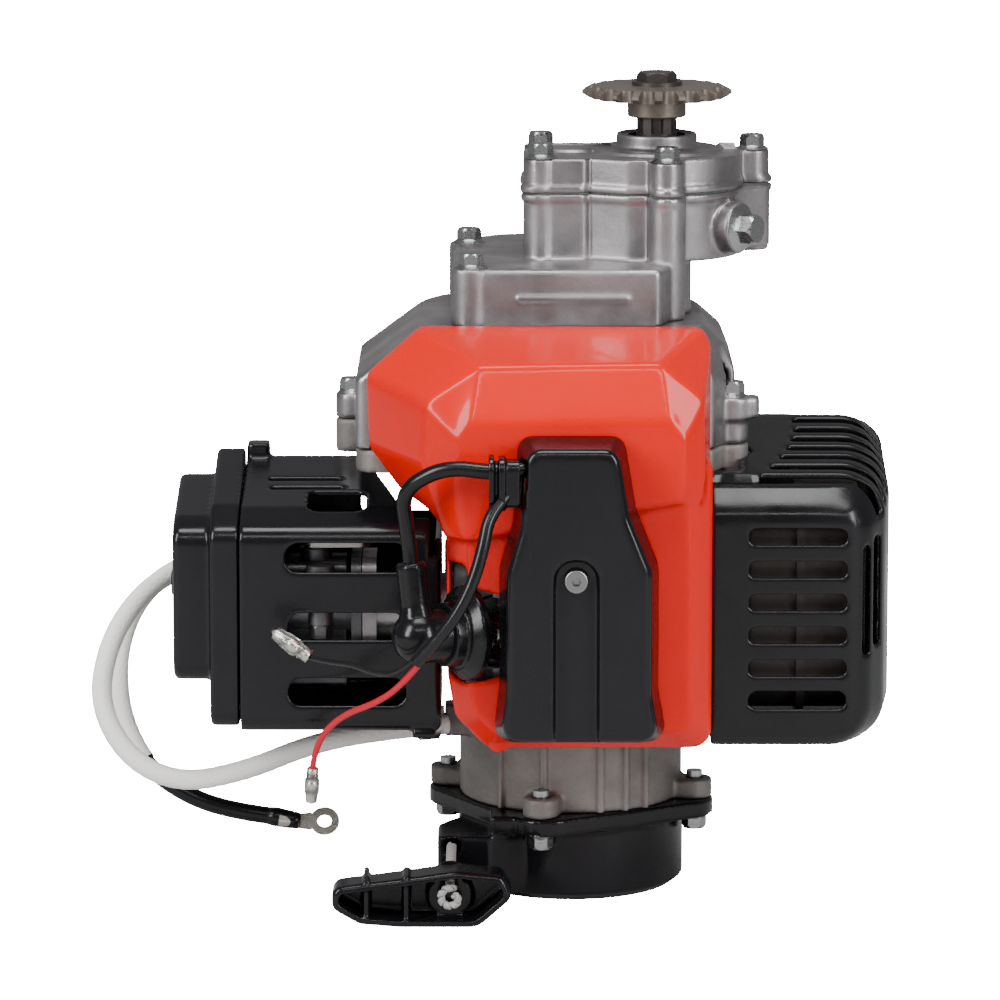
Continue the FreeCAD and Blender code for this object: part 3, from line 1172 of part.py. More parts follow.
def muffler_cover():
    """Guard over the silencer: front, top, bottom and outer side, slotted to let the heat out."""
    back = box(MUFFLER_X0 - 1, MUFFLER_X1 - 10, -6, 5, 76, 170)
    body = take(guard_block(0.0), [guard_block(PLATE), back])
    cuts = [box(MUFFLER_X0 - 1, 60, -73, 0, 164.6, 190), cyl(6.6, 158, 190, 57.5, -54)]
    for i in range(6):
        low = 143.2 - 11.9 * i
        cuts.append(slab("y", rect(62.5, 97.5, low, low + 6.0), 2.9, -100, -84))
        cuts.append(slab("x", rect(-46, -20, low, low + 6.0), 2.9, MUFFLER_X1 - 8, MUFFLER_X1 + 5))
    cuts += [slab("y", rect(103.4, 105.9, 102.5, 142.4), 1.2, -100, -78),
             slab("y", rect(107.5, 109.8, 105, 145.3), 1.1, -96, -68)]
    cuts += [box(x, 130, y - 2.3, y + 2.3, low, 200) for y, x, low in TOP_SLOTS]
    return take(body, cuts)


def muffler_bolts():
    return [bolt((43.5, PORT_Y, CRANK_Z + z), (1, 0, 0), size=5, length=14, head=5, flange=5.6)
            for z in (EXHAUST_BOLT, -EXHAUST_BOLT)]


# ---------------------------------------------------------------- loose leads
def bullet(start, end, radius):
    """Clear-sleeved bullet connector."""
    way = V(*end) - V(*start)
    length = way.Length
    parts = [Part.makeCylinder(radius, length * 0.8), Part.makeCone(radius, radius * 0.62, length * 0.2,
                                                                    V(0, 0, length * 0.8))]
    return aim(join(parts), start, way)


def ring_terminal():
    """Crimped ring terminal at the end of the earth cable."""
    barrel = bar(2.9, (-108.8, -27, 29), (-101.5, -27.2, 27.6))
    blade = slab("z", [(-103, -29.6), (-96, -30.6), (-96, -23.6), (-103, -24.6)], 1.0, 26.4, 27.6)
    eye = ring(5.5, 2.65, 26.4, 27.6, -91.6, -27.1)
    return take(join([barrel, blade, eye]), [cyl(2.65, 20, 30, -91.6, -27.1)])


def bullet_connectors():
    black = bullet(BLACK_ROUTE[-1], (-107.5, -105.5, 115), 3.25)
    red = bullet(RED_ROUTE[-1], (-94.2, -101.5, 51), 2.75)
    return [black, red]


def cable_clip():
    """P clip that ties the earth cable to the crankcase, and its screw."""
    near, far = V(*CABLE_ROUTE[0]), V(*CABLE_ROUTE[1])
    way = (far - near).normalize()
    loop = bar(CABLE_R + 1.4, tuple(near + way * 4), tuple(near + way * 11))
    strap = join([loop, box(-54, -47.2, -24.6, -22.4, 60.5, 67.5), box(-48.7, -47.2, -24.6, -9, 60.5, 67.5)])
    strap = take(strap, [bar(CABLE_R, tuple(near - way), tuple(near + way * 20)),
                         bar(2.05, (-50, -14.5, 64), (-46, -14.5, 64))])
    return [strap, bolt((-48.7, -14.5, 64), (-1, 0, 0), size=4, across=7, length=9, head=3.2, flange=4.6)]


def main():
    os.makedirs("parts", exist_ok=True)
    # recoil starter
    save("starter_housing", starter_housing())
    save("starter_bolts", starter_bolts() + spring_washers())
    save("recoil_spring", recoil_spring())
    save("starter_reel", [starter_reel(), rope_winding()])
    save("starter_pawl", starter_pawl())
    save("starter_cup", starter_cup())
    save("pull_handle", pull_handle())
    save("starter_rope", [rope(), rope_knot()])
    # crankcase and crank train
    save("crankcase_lower", crankcase_lower())
    save("crankcase_upper", crankcase_upper())
    save("gaskets", [crankcase_gasket(), cylinder_gasket(), exhaust_gasket(), gearbox_gasket()])
    save("engine_bolts", crankcase_bolts() + cylinder_bolts() + muffler_bolts())
    save("crank_bearings", main_bearings() + crank_seals())
    save("crankshaft", crankshaft())
    save("connecting_rod", connecting_rod())
    save("piston", piston())
    save("piston_rings_and_pin", piston_rings() + [gudgeon_pin()])
    # cylinder and ignition
    save("cylinder", cylinder())
    save("spark_plug", spark_plug())
    save("plug_cap", plug_cap())
    save("plug_boot", plug_boot())
    save("ignition_coil", ignition_coil())
    save("ht_lead", ht_lead())
    save("coil_cover", coil_cover())
    save("coil_cover_screw", coil_cover_screw())
    save("lead_grommet", lead_grommet())
    # cooling
    save("shroud", shroud())
    save("fan_housing", fan_housing())
    save("fan_housing_bolts", fan_housing_bolts())
    save("flywheel", [flywheel()] + flywheel_magnets())
    # clutch and gearbox
    save("clutch_hub", clutch_hub())
    shoe = clutch_shoe()
    other = shoe.copy()
    other.rotate(V(0, 0, 0), V(0, 0, 1), 180)
    save("clutch_shoe_a", shoe)
    save("clutch_shoe_b", other)
    save("clutch_drum", clutch_drum())
    save("gearbox_case", gearbox_case())
    save("gearbox_cover", gearbox_cover())
    save("gearbox_bolts", gearbox_cover_bolts() + clutch_case_bolts())
    save("oil_bolt", oil_bolt())
    save("gearbox_bearings", gearbox_bearings())
    save("output_seal", [output_seal(), output_circlip()])
    save("output_shaft", output_shaft())
    save("output_gear", output_gear())
    save("sprocket", sprocket())
    save("sprocket_bolt", sprocket_bolt())
    # intake and exhaust
    save("intake_manifold", intake_manifold())
    save("carburetor", [carburetor_body(), carburetor_barrel(), barrel_nut()])
    save("throttle_lever", throttle_lever())
    save("air_box", air_box())
    save("air_filter_cover", [air_filter_cover(), air_filter_knob()])
    save("air_filter_foam", air_filter_foam())
    save("choke_lever", choke_lever())
    save("muffler", muffler())
    save("muffler_cover", muffler_cover())
    # loose leads
    save("kill_wire_sleeve", cord("kill_wire_sleeve", SLEEVE_ROUTE, SLEEVE_R))
    save("kill_wire_black", cord("kill_wire_black", BLACK_ROUTE, BLACK_R))
    save("kill_wire_red", cord("kill_wire_red", RED_ROUTE, RED_R))
    save("bullet_connectors", bullet_connectors())
    save("earth_cable", cord("earth_cable", CABLE_ROUTE, CABLE_R))
    save("earth_terminal", ring_terminal())
    save("cable_clip", cable_clip())


main()
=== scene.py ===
# %% [markdown]
# # A small two-stroke engine
# The engine stands on its recoil starter, with the crankshaft upright and the cylinder pointing at the
# viewer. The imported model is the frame: every metal and moulded piece is already there, at its real size
# and place. This lesson gives each of them its finish. It replaces the pieces whose shape is softer or
# finer than that model holds: mouldings, castings, rubber, cords, the rope and the handle.

# %% Load the frame
import math
import json

import bpy
import bmesh
from mathutils import Matrix, Vector


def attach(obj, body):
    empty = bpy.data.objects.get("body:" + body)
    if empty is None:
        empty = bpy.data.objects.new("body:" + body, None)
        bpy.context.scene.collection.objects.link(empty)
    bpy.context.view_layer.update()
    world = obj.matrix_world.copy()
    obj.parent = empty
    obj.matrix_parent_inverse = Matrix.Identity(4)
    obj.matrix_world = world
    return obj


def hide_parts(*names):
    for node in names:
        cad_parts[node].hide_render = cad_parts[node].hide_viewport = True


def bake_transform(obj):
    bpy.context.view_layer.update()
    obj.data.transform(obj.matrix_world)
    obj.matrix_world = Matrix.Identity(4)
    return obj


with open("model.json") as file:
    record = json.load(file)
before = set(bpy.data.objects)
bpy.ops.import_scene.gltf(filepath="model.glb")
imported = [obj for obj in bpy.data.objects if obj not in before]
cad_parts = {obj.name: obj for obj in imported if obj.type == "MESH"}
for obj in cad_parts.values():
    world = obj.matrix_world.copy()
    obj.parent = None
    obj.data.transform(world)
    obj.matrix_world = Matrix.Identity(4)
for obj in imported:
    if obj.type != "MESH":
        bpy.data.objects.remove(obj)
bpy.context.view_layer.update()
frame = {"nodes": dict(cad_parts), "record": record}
nodes = frame["nodes"]
MM = 0.001

# %% [markdown]
# ## Camera
# A long lens far away keeps the engine's upright edges nearly parallel. The camera looks slightly down.

# %% Camera
TARGET = Vector((-0.0265, 0.0, 0.1436))
DISTANCE = 2.233
ELEVATION = math.radians(10)
SENSOR_MM, LENS_MM = 36.0, 216.0
camera_data = bpy.data.cameras.new("camera")
camera_data.sensor_width = SENSOR_MM
camera_data.lens = LENS_MM
camera_data.clip_end = 50.0
camera = bpy.data.objects.new("camera", camera_data)
camera.location = TARGET + DISTANCE * Vector((0, -math.cos(ELEVATION), math.sin(ELEVATION)))
camera.rotation_euler = (math.pi / 2 - ELEVATION, 0, 0)
bpy.context.scene.collection.objects.link(camera)
bpy.context.scene.camera = camera

# %% [markdown]
# ## Stage
# A flat white floor, four lit panels and a soft sky. The floor and the sky glow for the camera alone, so
# they read as pure white without washing out the engine. Black plastic shows only what it reflects, so the
# lights are wide panels that draw long soft streaks along the edges.

# %% Stage
FLOOR_HALF = 4.0
PAPER_GREY, PAPER_GLOW, SKY_GLOW = 0.55, 40.0, 0.24


def stage_floor():
    """A wide flat floor, open on every side, so the engine can be seen from all round."""
    mesh = bpy.data.meshes.new("floor")
    signs = ((-1, -1), (1, -1), (1, 1), (-1, 1))
    corners = [(x * FLOOR_HALF, y * FLOOR_HALF, 0.0) for x, y in signs]
    mesh.from_pydata(corners, [], [(0, 1, 2, 3)])
    floor = bpy.data.objects.new("floor", mesh)
    bpy.context.scene.collection.objects.link(floor)
    paper = bpy.data.materials.new("white_paper")
    paper.use_nodes = True
    tree = paper.node_tree
    shader = tree.nodes["Principled BSDF"]
    shader.inputs["Base Color"].default_value = (PAPER_GREY, PAPER_GREY, PAPER_GREY, 1)
    shader.inputs["Roughness"].default_value = 0.8
    glow = tree.nodes.new("ShaderNodeEmission")
    glow.inputs["Strength"].default_value = PAPER_GLOW
    seen = tree.nodes.new("ShaderNodeLightPath")
    mix = tree.nodes.new("ShaderNodeMixShader")
    tree.links.new(seen.outputs["Is Camera Ray"], mix.inputs[0])
    tree.links.new(shader.outputs[0], mix.inputs[1])
    tree.links.new(glow.outputs[0], mix.inputs[2])
    tree.links.new(mix.outputs[0], tree.nodes["Material Output"].inputs["Surface"])
    floor.data.materials.append(paper)


def panel_light(name, place, size, power, target=TARGET):
    """A rectangular light that faces the engine."""
    light = bpy.data.lights.new(name, "AREA")
    light.shape = "RECTANGLE"
    light.size, light.size_y = size
    light.energy = power
    lamp = bpy.data.objects.new(name, light)
    lamp.location = place
    lamp.rotation_euler = (Vector(target) - Vector(place)).to_track_quat("-Z", "Y").to_euler()
    bpy.context.scene.collection.objects.link(lamp)


stage_floor()
panel_light("left_panel", (-1.3, -1.1, 1.0), (0.5, 1.3), 36)
panel_light("right_panel", (1.2, -1.2, 0.9), (0.4, 1.3), 28)
panel_light("top_panel", (0.0, -0.3, 1.7), (1.0, 0.6), 22)
panel_light("front_strip", (0.1, -1.5, 1.25), (1.2, 0.10), 5)
world = bpy.data.worlds.new("sky")
world.use_nodes = True
sky = world.node_tree.nodes["Background"]
sky.inputs["Color"].default_value = (1, 1, 1, 1)
sky.inputs["Strength"].default_value = SKY_GLOW
backdrop = world.node_tree.nodes.new("ShaderNodeBackground")
backdrop.inputs["Color"].default_value = (1, 1, 1, 1)
backdrop.inputs["Strength"].default_value = PAPER_GLOW
seen = world.node_tree.nodes.new("ShaderNodeLightPath")
mix = world.node_tree.nodes.new("ShaderNodeMixShader")
world.node_tree.links.new(seen.outputs["Is Camera Ray"], mix.inputs[0])
world.node_tree.links.new(sky.outputs[0], mix.inputs[1])
world.node_tree.links.new(backdrop.outputs[0], mix.inputs[2])
world.node_tree.links.new(mix.outputs[0], world.node_tree.nodes["World Output"].inputs["Surface"])
bpy.context.scene.world = world

# %% [markdown]
# ## Finishes
# Every finish is one shader with a little procedural relief: fine grain in moulded plastic, orange-peel
# and pits in die-cast metal, soft scuffs where hands have been. Patterns read object coordinates, so they
# stay with the piece.

# %% Node helpers
def finish_base(name, color, roughness, metallic=0.0, coat=0.0, coat_roughness=0.1, specular=0.5):
    """A new material with its constant values on the shader's own sockets."""
    material = bpy.data.materials.new(name)
    material.use_nodes = True
    shader = material.node_tree.nodes["Principled BSDF"]
    shader.inputs["Base Color"].default_value = (*color, 1)
    shader.inputs["Roughness"].default_value = roughness
    shader.inputs["Metallic"].default_value = metallic
    shader.inputs["Coat Weight"].default_value = coat
    shader.inputs["Coat Roughness"].default_value = coat_roughness
    shader.inputs["Specular IOR Level"].default_value = specular
    material.diffuse_color = (*color, 1)
    return material


def add(material, kind, **values):
    """Adds a node; values name its properties or its inputs."""
    node = material.node_tree.nodes.new(kind)
    for key, value in values.items():
        if hasattr(node, key):
            setattr(node, key, value)
        else:
            node.inputs[key.replace("_", " ").title()].default_value = value
    return node


def link(material, source, socket, target, into):
    material.node_tree.links.new(source.outputs[socket], target.inputs[into])


def noise(material, scale, detail=4.0, rough=0.55, stretch=None):
    """Noise on object coordinates, scale in features per metre."""
    place = add(material, "ShaderNodeTexCoord")
    pattern = add(material, "ShaderNodeTexNoise")
    pattern.inputs["Scale"].default_value = scale
    pattern.inputs["Detail"].default_value = detail
    pattern.inputs["Roughness"].default_value = rough
    if stretch is None:
        link(material, place, "Object", pattern, "Vector")
    else:
        turn = add(material, "ShaderNodeMapping")
        turn.inputs["Scale"].default_value = stretch
        link(material, place, "Object", turn, "Vector")
        link(material, turn, "Vector", pattern, "Vector")
    return pattern


def vary_color(material, pattern, dark, light, low=0.35, high=0.65):
    """Base colour runs from dark to light with the pattern."""
    ramp = add(material, "ShaderNodeValToRGB")
    ramp.color_ramp.elements[0].position = low
    ramp.color_ramp.elements[0].color = (*dark, 1)
    ramp.color_ramp.elements[1].position = high
    ramp.color_ramp.elements[1].color = (*light, 1)
    link(material, pattern, "Fac", ramp, "Fac")
    link(material, ramp, "Color", material.node_tree.nodes["Principled BSDF"], "Base Color")


def vary_roughness(material, pattern, low, high):
    """Roughness runs from low to high with the pattern."""
    spread = add(material, "ShaderNodeMapRange")
    spread.inputs["From Min"].default_value = 0.3
    spread.inputs["From Max"].default_value = 0.7
    spread.inputs["To Min"].default_value = low
    spread.inputs["To Max"].default_value = high
    link(material, pattern, "Fac", spread, "Value")
    link(material, spread, "Result", material.node_tree.nodes["Principled BSDF"], "Roughness")


def relief(material, pattern, depth, socket="Fac", strength=1.0):
    """Bump of the given depth in metres, stacked on any bump that is already there."""
    shader = material.node_tree.nodes["Principled BSDF"]
    bump = add(material, "ShaderNodeBump")
    bump.inputs["Strength"].default_value = strength
    bump.inputs["Distance"].default_value = depth
    link(material, pattern, socket, bump, "Height")
    if shader.inputs["Normal"].is_linked:
        before = shader.inputs["Normal"].links[0].from_node
        link(material, before, "Normal", bump, "Normal")
    link(material, bump, "Normal", shader, "Normal")


# %% Moulded plastics
def moulded_plastic(name, color, roughness, grain=0.00002):
    """Semi-gloss moulding: faint grain, and cloudy patches where it has been handled."""
    material = finish_base(name, color, roughness, specular=0.3)
    vary_roughness(material, noise(material, 45, 5.0), roughness - 0.06, roughness + 0.09)
    relief(material, noise(material, 2600, 2.0), grain)
    relief(material, noise(material, 38, 1.0), 0.00012)
    return material


def glossy_red(name):
    """Bright orange-red moulding with a wet gloss and slight waviness."""
    material = finish_base(name, (0.58, 0.004, 0.0), 0.24, coat=0.2, coat_roughness=0.03, specular=0.12)
    vary_color(material, noise(material, 16, 2.0), (0.62, 0.004, 0.0), (0.67, 0.005, 0.0))
    relief(material, noise(material, 30, 1.0), 0.00025)
    return material


finishes = {"red_plastic": glossy_red("red_plastic")}
PLASTICS = [("black_plastic", (0.005, 0.005, 0.0065), 0.19), ("black_guard", (0.005, 0.005, 0.006), 0.21),
            ("reel_plastic", (0.05, 0.05, 0.055), 0.4), ("coil_resin", (0.02, 0.02, 0.022), 0.45)]
for name, color, roughness in PLASTICS:
    finishes[name] = moulded_plastic(name, color, roughness)


# %% Metals
def die_cast(name, dark, light, roughness, pit=0.00008, metallic=0.9):
    """Raw casting: cloudy skin, fine pits and a soft ripple."""
    material = finish_base(name, light, roughness, metallic=metallic)
    vary_color(material, noise(material, 28, 6.0, 0.6), dark, light, 0.3, 0.7)
    vary_roughness(material, noise(material, 60, 5.0), roughness - 0.1, roughness + 0.12)
    relief(material, noise(material, 900, 3.0), pit)
    relief(material, noise(material, 90, 2.0), 0.00012)
    return material


def machined(name, color, roughness, metallic=1.0):
    """Turned or plated steel with fine scratches."""
    material = finish_base(name, color, roughness, metallic=metallic)
    vary_roughness(material, noise(material, 300, 4.0, stretch=(1, 1, 12)), roughness - 0.07, roughness + 0.1)
    relief(material, noise(material, 1500, 2.0, stretch=(1, 1, 10)), 0.00001)
    return material


# dark and light colour, roughness, depth of the pits, metallic
CASTINGS = {"cast_aluminium": ((0.185, 0.172, 0.178), (0.34, 0.322, 0.33), 0.40),
            "cast_grey": ((0.16, 0.147, 0.138), (0.28, 0.262, 0.25), 0.6, 0.00015, 0.6),
            "carb_metal": ((0.055, 0.055, 0.06), (0.14, 0.14, 0.145), 0.42)}
# colour, roughness, metallic
MACHINED = {"zinc_steel": ((0.36, 0.365, 0.37), 0.24), "black_screw": ((0.25, 0.25, 0.25), 0.3),
            "dark_steel": ((0.060, 0.052, 0.048), 0.42, 0.7), "steel": ((0.42, 0.40, 0.38), 0.34),
            "sprocket_steel": ((0.17, 0.145, 0.125), 0.42, 0.8), "connector_metal": ((0.62, 0.60, 0.55), 0.3)}
for name, values in CASTINGS.items():
    finishes[name] = die_cast(name, *values)
for name, values in MACHINED.items():
    finishes[name] = machined(name, *values)


# %% Rubber, foam and cord
def rubber(name, color, roughness, specular=0.4):
    """Matt to satin skin with faint grain, also for cords and gaskets."""
    material = finish_base(name, color, roughness, specular=specular)
    vary_roughness(material, noise(material, 70, 4.0), roughness - 0.08, roughness + 0.1)
    relief(material, noise(material, 1400, 2.0), 0.00002)
    return material


# colour, roughness, specular
RUBBERS = {"black_rubber": ((0.004, 0.004, 0.005), 0.22, 0.3),
           "wire_sleeve": ((0.004, 0.004, 0.005), 0.24, 0.35),
           "wire_black": ((0.005, 0.005, 0.006), 0.28), "wire_red": ((0.50, 0.003, 0.018), 0.3),
           "friction": ((0.10, 0.08, 0.06), 0.8), "gasket": ((0.09, 0.11, 0.10), 0.85),
           "foam": ((0.03, 0.03, 0.032), 0.95), "rope": ((0.36, 0.36, 0.345), 0.85),
           "glass_braid": ((0.88, 0.87, 0.83), 0.75)}
for name, values in RUBBERS.items():
    finishes[name] = rubber(name, *values)

# %% Give every CAD node its finish
for part in frame["record"]["subparts"]:
    slots = nodes[part["node"]].data.materials
    for index in range(len(slots)):
        slots[index] = finishes[part["material_slot"]]

# %% [markdown]
# ## Softened mouldings and castings
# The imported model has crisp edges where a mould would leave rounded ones. These pieces are remeshed from
# it at a fine step, relaxed so every edge and inside corner rounds over, and then thinned out where they
# are flat.

# %% Soften pieces
def evaluated_mesh(piece):
    """The mesh of a piece with its modifiers applied."""
    bpy.context.view_layer.update()
    graph = bpy.context.evaluated_depsgraph_get()
    return bpy.data.meshes.new_from_object(piece.evaluated_get(graph), depsgraph=graph)


def new_piece(name, mesh, finish):
    """A smooth shaded piece at the origin with one finish."""
    mesh.polygons.foreach_set("use_smooth", [True] * len(mesh.polygons))
    mesh.materials.clear()
    mesh.materials.append(finishes[finish])
    mesh.polygons.foreach_set("material_index", [0] * len(mesh.polygons))
    piece = bpy.data.objects.new(name, mesh)
    bpy.context.scene.collection.objects.link(piece)
    return piece


def soften(node, finish, step, rounds, keep, body="root", swell=0.0):
    """Replaces a CAD node with a copy that has rounded edges and is fatter by swell.

    step is the remeshing size in metres, rounds the smoothing, and keep the share of the faces that stays.
    """
    mesh = nodes[node].data.copy()
    mesh.transform(nodes[node].matrix_world)
    weld = bmesh.new()
    weld.from_mesh(mesh)
    bmesh.ops.remove_doubles(weld, verts=weld.verts, dist=1e-6)
    weld.to_mesh(mesh)
    weld.free()
    draft = bpy.data.objects.new(node + "_draft", mesh)
    bpy.context.scene.collection.objects.link(draft)
    remesh = draft.modifiers.new("remesh", "REMESH")
    remesh.mode = "VOXEL"
    remesh.voxel_size = step
    relax = draft.modifiers.new("relax", "SMOOTH")
    relax.factor = 0.5
    relax.iterations = rounds
    if swell:
        fatter = draft.modifiers.new("fatter", "DISPLACE")
        fatter.mid_level = 0.0
        fatter.strength = swell
    thin = draft.modifiers.new("thin", "DECIMATE")
    thin.ratio = keep
    piece = new_piece(node + "_soft", evaluated_mesh(draft), finish)
    bpy.data.objects.remove(draft)
    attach(piece, body)
    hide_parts(node)
    print(node, len(piece.data.polygons))
    return piece


# node, finish, remeshing size in mm, rounds of smoothing, share of the faces kept
SOFTENED = [("shroud", "red_plastic", 0.9, 12, 0.3), ("coil_cover", "black_plastic", 0.7, 8, 0.4),
            ("air_box", "black_plastic", 0.8, 5, 0.35),
            ("air_filter_cover", "black_plastic", 0.8, 6, 0.35),
            ("gearbox_case", "cast_aluminium", 0.8, 4, 0.35),
            ("gearbox_cover", "cast_aluminium", 0.7, 4, 0.4),
            ("fan_housing", "cast_aluminium", 1.0, 4, 0.35),
            ("crankcase_lower", "cast_grey", 0.9, 3, 0.35),
            ("crankcase_upper", "cast_grey", 1.0, 3, 0.35),
            ("starter_housing", "black_plastic", 0.8, 4, 0.35),
            ("plug_boot", "black_rubber", 0.5, 4, 0.5), ("lead_grommet", "black_rubber", 0.4, 3, 0.6)]
for node, finish, step, rounds, keep in SOFTENED:
    soften(node, finish, step * MM, rounds, keep)
soften("pull_handle", "black_plastic", 0.6 * MM, 5, 0.4, body="handle")
soften("plug_cap", "black_rubber", 0.5 * MM, 5, 0.5, swell=1.1 * MM)

# %% [markdown]
# ## Muffler guard
# The guard is a deep moulding with large corners. Its square corners are bent into quarter circles, walls
# and slots together, so the slots wrap round the corners. Its rear opening starts lower, so that no
# daylight comes through the top slots.

# %% Round the guard
TOP_CORNER, BOTTOM_CORNER, FRONT_CORNER = 17, 15, 13
GUARD_SIDE = [(-92, 103.5), (-77, 112), (-52, 115), (0, 115)]
GUARD_TOP = [(-92, 163.97), (-3, 181)]
GUARD_FLOOR, GUARD_FRONT = 69, -92


def along(table, y):
    """Value of a table of (y, value) pairs at y."""
    for (y0, v0), (y1, v1) in zip(table, table[1:]):
        if y <= y1:
            return v0 + (v1 - v0) * (max(y, y0) - y0) / (y1 - y0)
    return table[-1][1]


def bend_corner(mesh, first, second, size):
    """Bends a square corner into a quarter circle of size mm.

    first and second are (axis, outward sign, function that gives the face's place at y).
    """
    for vertex in mesh.vertices:
        y = vertex.co.y / MM
        share = [sign * (vertex.co[axis] / MM - place(y)) / size + 1 for axis, sign, place in (first, second)]
        if min(share) <= 0:
            continue
        u, v = (min(value, 1.0) for value in share)
        for (axis, sign, place), value in zip((first, second),
                                              (u * math.sqrt(1 - v * v / 2), v * math.sqrt(1 - u * u / 2))):
            vertex.co[axis] = (place(y) + sign * (value - 1) * size) * MM


guard = soften("muffler_cover", "black_guard", 0.8 * MM, 7, 0.35)
RIM_FRONT, RIM_LOW, RIM_HIGH, RIM_END, RIM_DROP = -8.5, 168, 171.5, 106, 21
for vertex in guard.data.vertices:
    x, y, z = vertex.co / MM
    if y > RIM_FRONT and RIM_LOW < z < RIM_HIGH and x < RIM_END:
        vertex.co.z -= RIM_DROP * MM
side = (0, 1, lambda y: along(GUARD_SIDE, y))
bend_corner(guard.data, side, (2, 1, lambda y: along(GUARD_TOP, y)), TOP_CORNER)
bend_corner(guard.data, side, (2, -1, lambda y: GUARD_FLOOR), BOTTOM_CORNER)
bend_corner(guard.data, (1, -1, lambda y: GUARD_FRONT), (2, 1, lambda y: along(GUARD_TOP, GUARD_FRONT)),
            FRONT_CORNER)
guard.data.update()

# %% [markdown]
# ## Wires and the earth cable
# The same points as the imported model, as control points of a smooth spline. The earth cable
# wears a glass-fibre braid: its surface is woven in relief, two families of strands crossing.

# %% Routes
SLEEVE_ROUTE = [(-22, -137, 171), (-30, -141.5, 165), (-32.5, -146, 151), (-37.5, -148, 136),
                (-46, -147, 122), (-56, -143, 111)]
BLACK_ROUTE = [(-56.9, -143.2, 111.8), (-62, -140, 106.5), (-70, -134, 105), (-79, -126, 107),
               (-87, -119, 106.2), (-94, -112, 106.5)]
RED_ROUTE = [(-55.1, -142.8, 110.1), (-62, -139, 101), (-71, -132, 94), (-80, -123, 89), (-87.5, -115, 82),
             (-92.3, -108.5, 73), (-93.4, -105, 65)]
CABLE_ROUTE = [(-46, -26, 64), (-71, -35, 63.5), (-96, -42, 60), (-120, -48, 51), (-144, -51, 47),
               (-163, -49, 56), (-174, -43, 75), (-171, -33, 95), (-162, -18, 109), (-149, -1, 117),
               (-132, 12, 121), (-113, 20, 122), (-101, 36, 121), (-103, 56, 118), (-118, 70, 114),
               (-138, 71, 110), (-154, 59, 105), (-163, 41, 99), (-168, 21, 91), (-170, 2, 79),
               (-167, -12, 62), (-157, -22, 46), (-141, -26, 36), (-124, -27, 31), (-109, -27, 29)]


def metres(point):
    """A point in millimetres as a vector in metres."""
    return Vector(point) * MM


def route_curve(name, route, radius=0.0):
    """A smooth cord along a route; with no radius it is only a line."""
    curve = bpy.data.curves.new(name, "CURVE")
    curve.dimensions = "3D"
    spline = curve.splines.new("NURBS")
    spline.points.add(len(route) - 1)
    for point, place in zip(spline.points, route):
        point.co = (*metres(place), 1)
    spline.order_u = 3
    spline.use_endpoint_u = True
    curve.resolution_u = 16
    curve.bevel_depth = radius
    curve.bevel_resolution = 6
    curve.use_fill_caps = True
    cord = bpy.data.objects.new(name, curve)
    bpy.context.scene.collection.objects.link(cord)
    return cord


def route_line(route):
    """Points along the smooth spline of a route."""
    line = route_curve("line", route)
    mesh = evaluated_mesh(line)
    points = [v.co.copy() for v in mesh.vertices]
    bpy.data.objects.remove(line)
    return points


def spaced(points, step):
    """The same line with even spacing."""
    lengths = [0.0]
    for a, b in zip(points, points[1:]):
        lengths.append(lengths[-1] + (b - a).length)
    count = max(2, round(lengths[-1] / step))
    even, j = [], 0
    for i in range(count + 1):
        along = lengths[-1] * i / count
        while j < len(points) - 2 and lengths[j + 1] < along:
            j += 1
        share = (along - lengths[j]) / max(lengths[j + 1] - lengths[j], 1e-9)
        even.append(points[j].lerp(points[j + 1], share))
    return even


def tube(points, sides, radius_at):
    """A closed tube along points; radius_at gives its radius from the ring number and the angle."""
    side = (points[1] - points[0]).orthogonal().normalized()
    verts, faces = [], []
    for i, point in enumerate(points):
        way = (points[min(i + 1, len(points) - 1)] - points[max(i - 1, 0)]).normalized()
        side = (side - way * side.dot(way)).normalized()
        other = way.cross(side)
        for k in range(sides):
            angle = 2 * math.pi * k / sides
            verts.append(point + (side * math.cos(angle) + other * math.sin(angle)) * radius_at(i, angle))
        if i:
            a, b = (i - 1) * sides, i * sides
            faces += [(a + k, a + (k + 1) % sides, b + (k + 1) % sides, b + k) for k in range(sides)]
    last = (len(points) - 1) * sides
    faces += [tuple(range(sides - 1, -1, -1)), tuple(range(last, last + sides))]
    mesh = bpy.data.meshes.new("tube")
    mesh.from_pydata(verts, [], faces)
    return mesh


# %% Kill wires and their bullet connectors
def thin_cord(name, node, route, radius, finish):
    """A free smooth wire that stands for a CAD tube; length is the tube's own."""
    cord = route_curve(name, route, radius)
    cord.data.materials.append(finishes[finish])
    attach(cord, "root")
    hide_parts(node)


def turned(name, start, end, profile, finish, sides=28):
    """A turned piece on the line from start to end; profile lists the share along it and the radius in mm."""
    start, end = metres(start), metres(end)
    points = [start.lerp(end, share) for share, _ in profile]
    piece = new_piece(name, tube(points, sides, lambda i, angle: profile[i][1] * MM), finish)
    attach(piece, "root")
    return piece


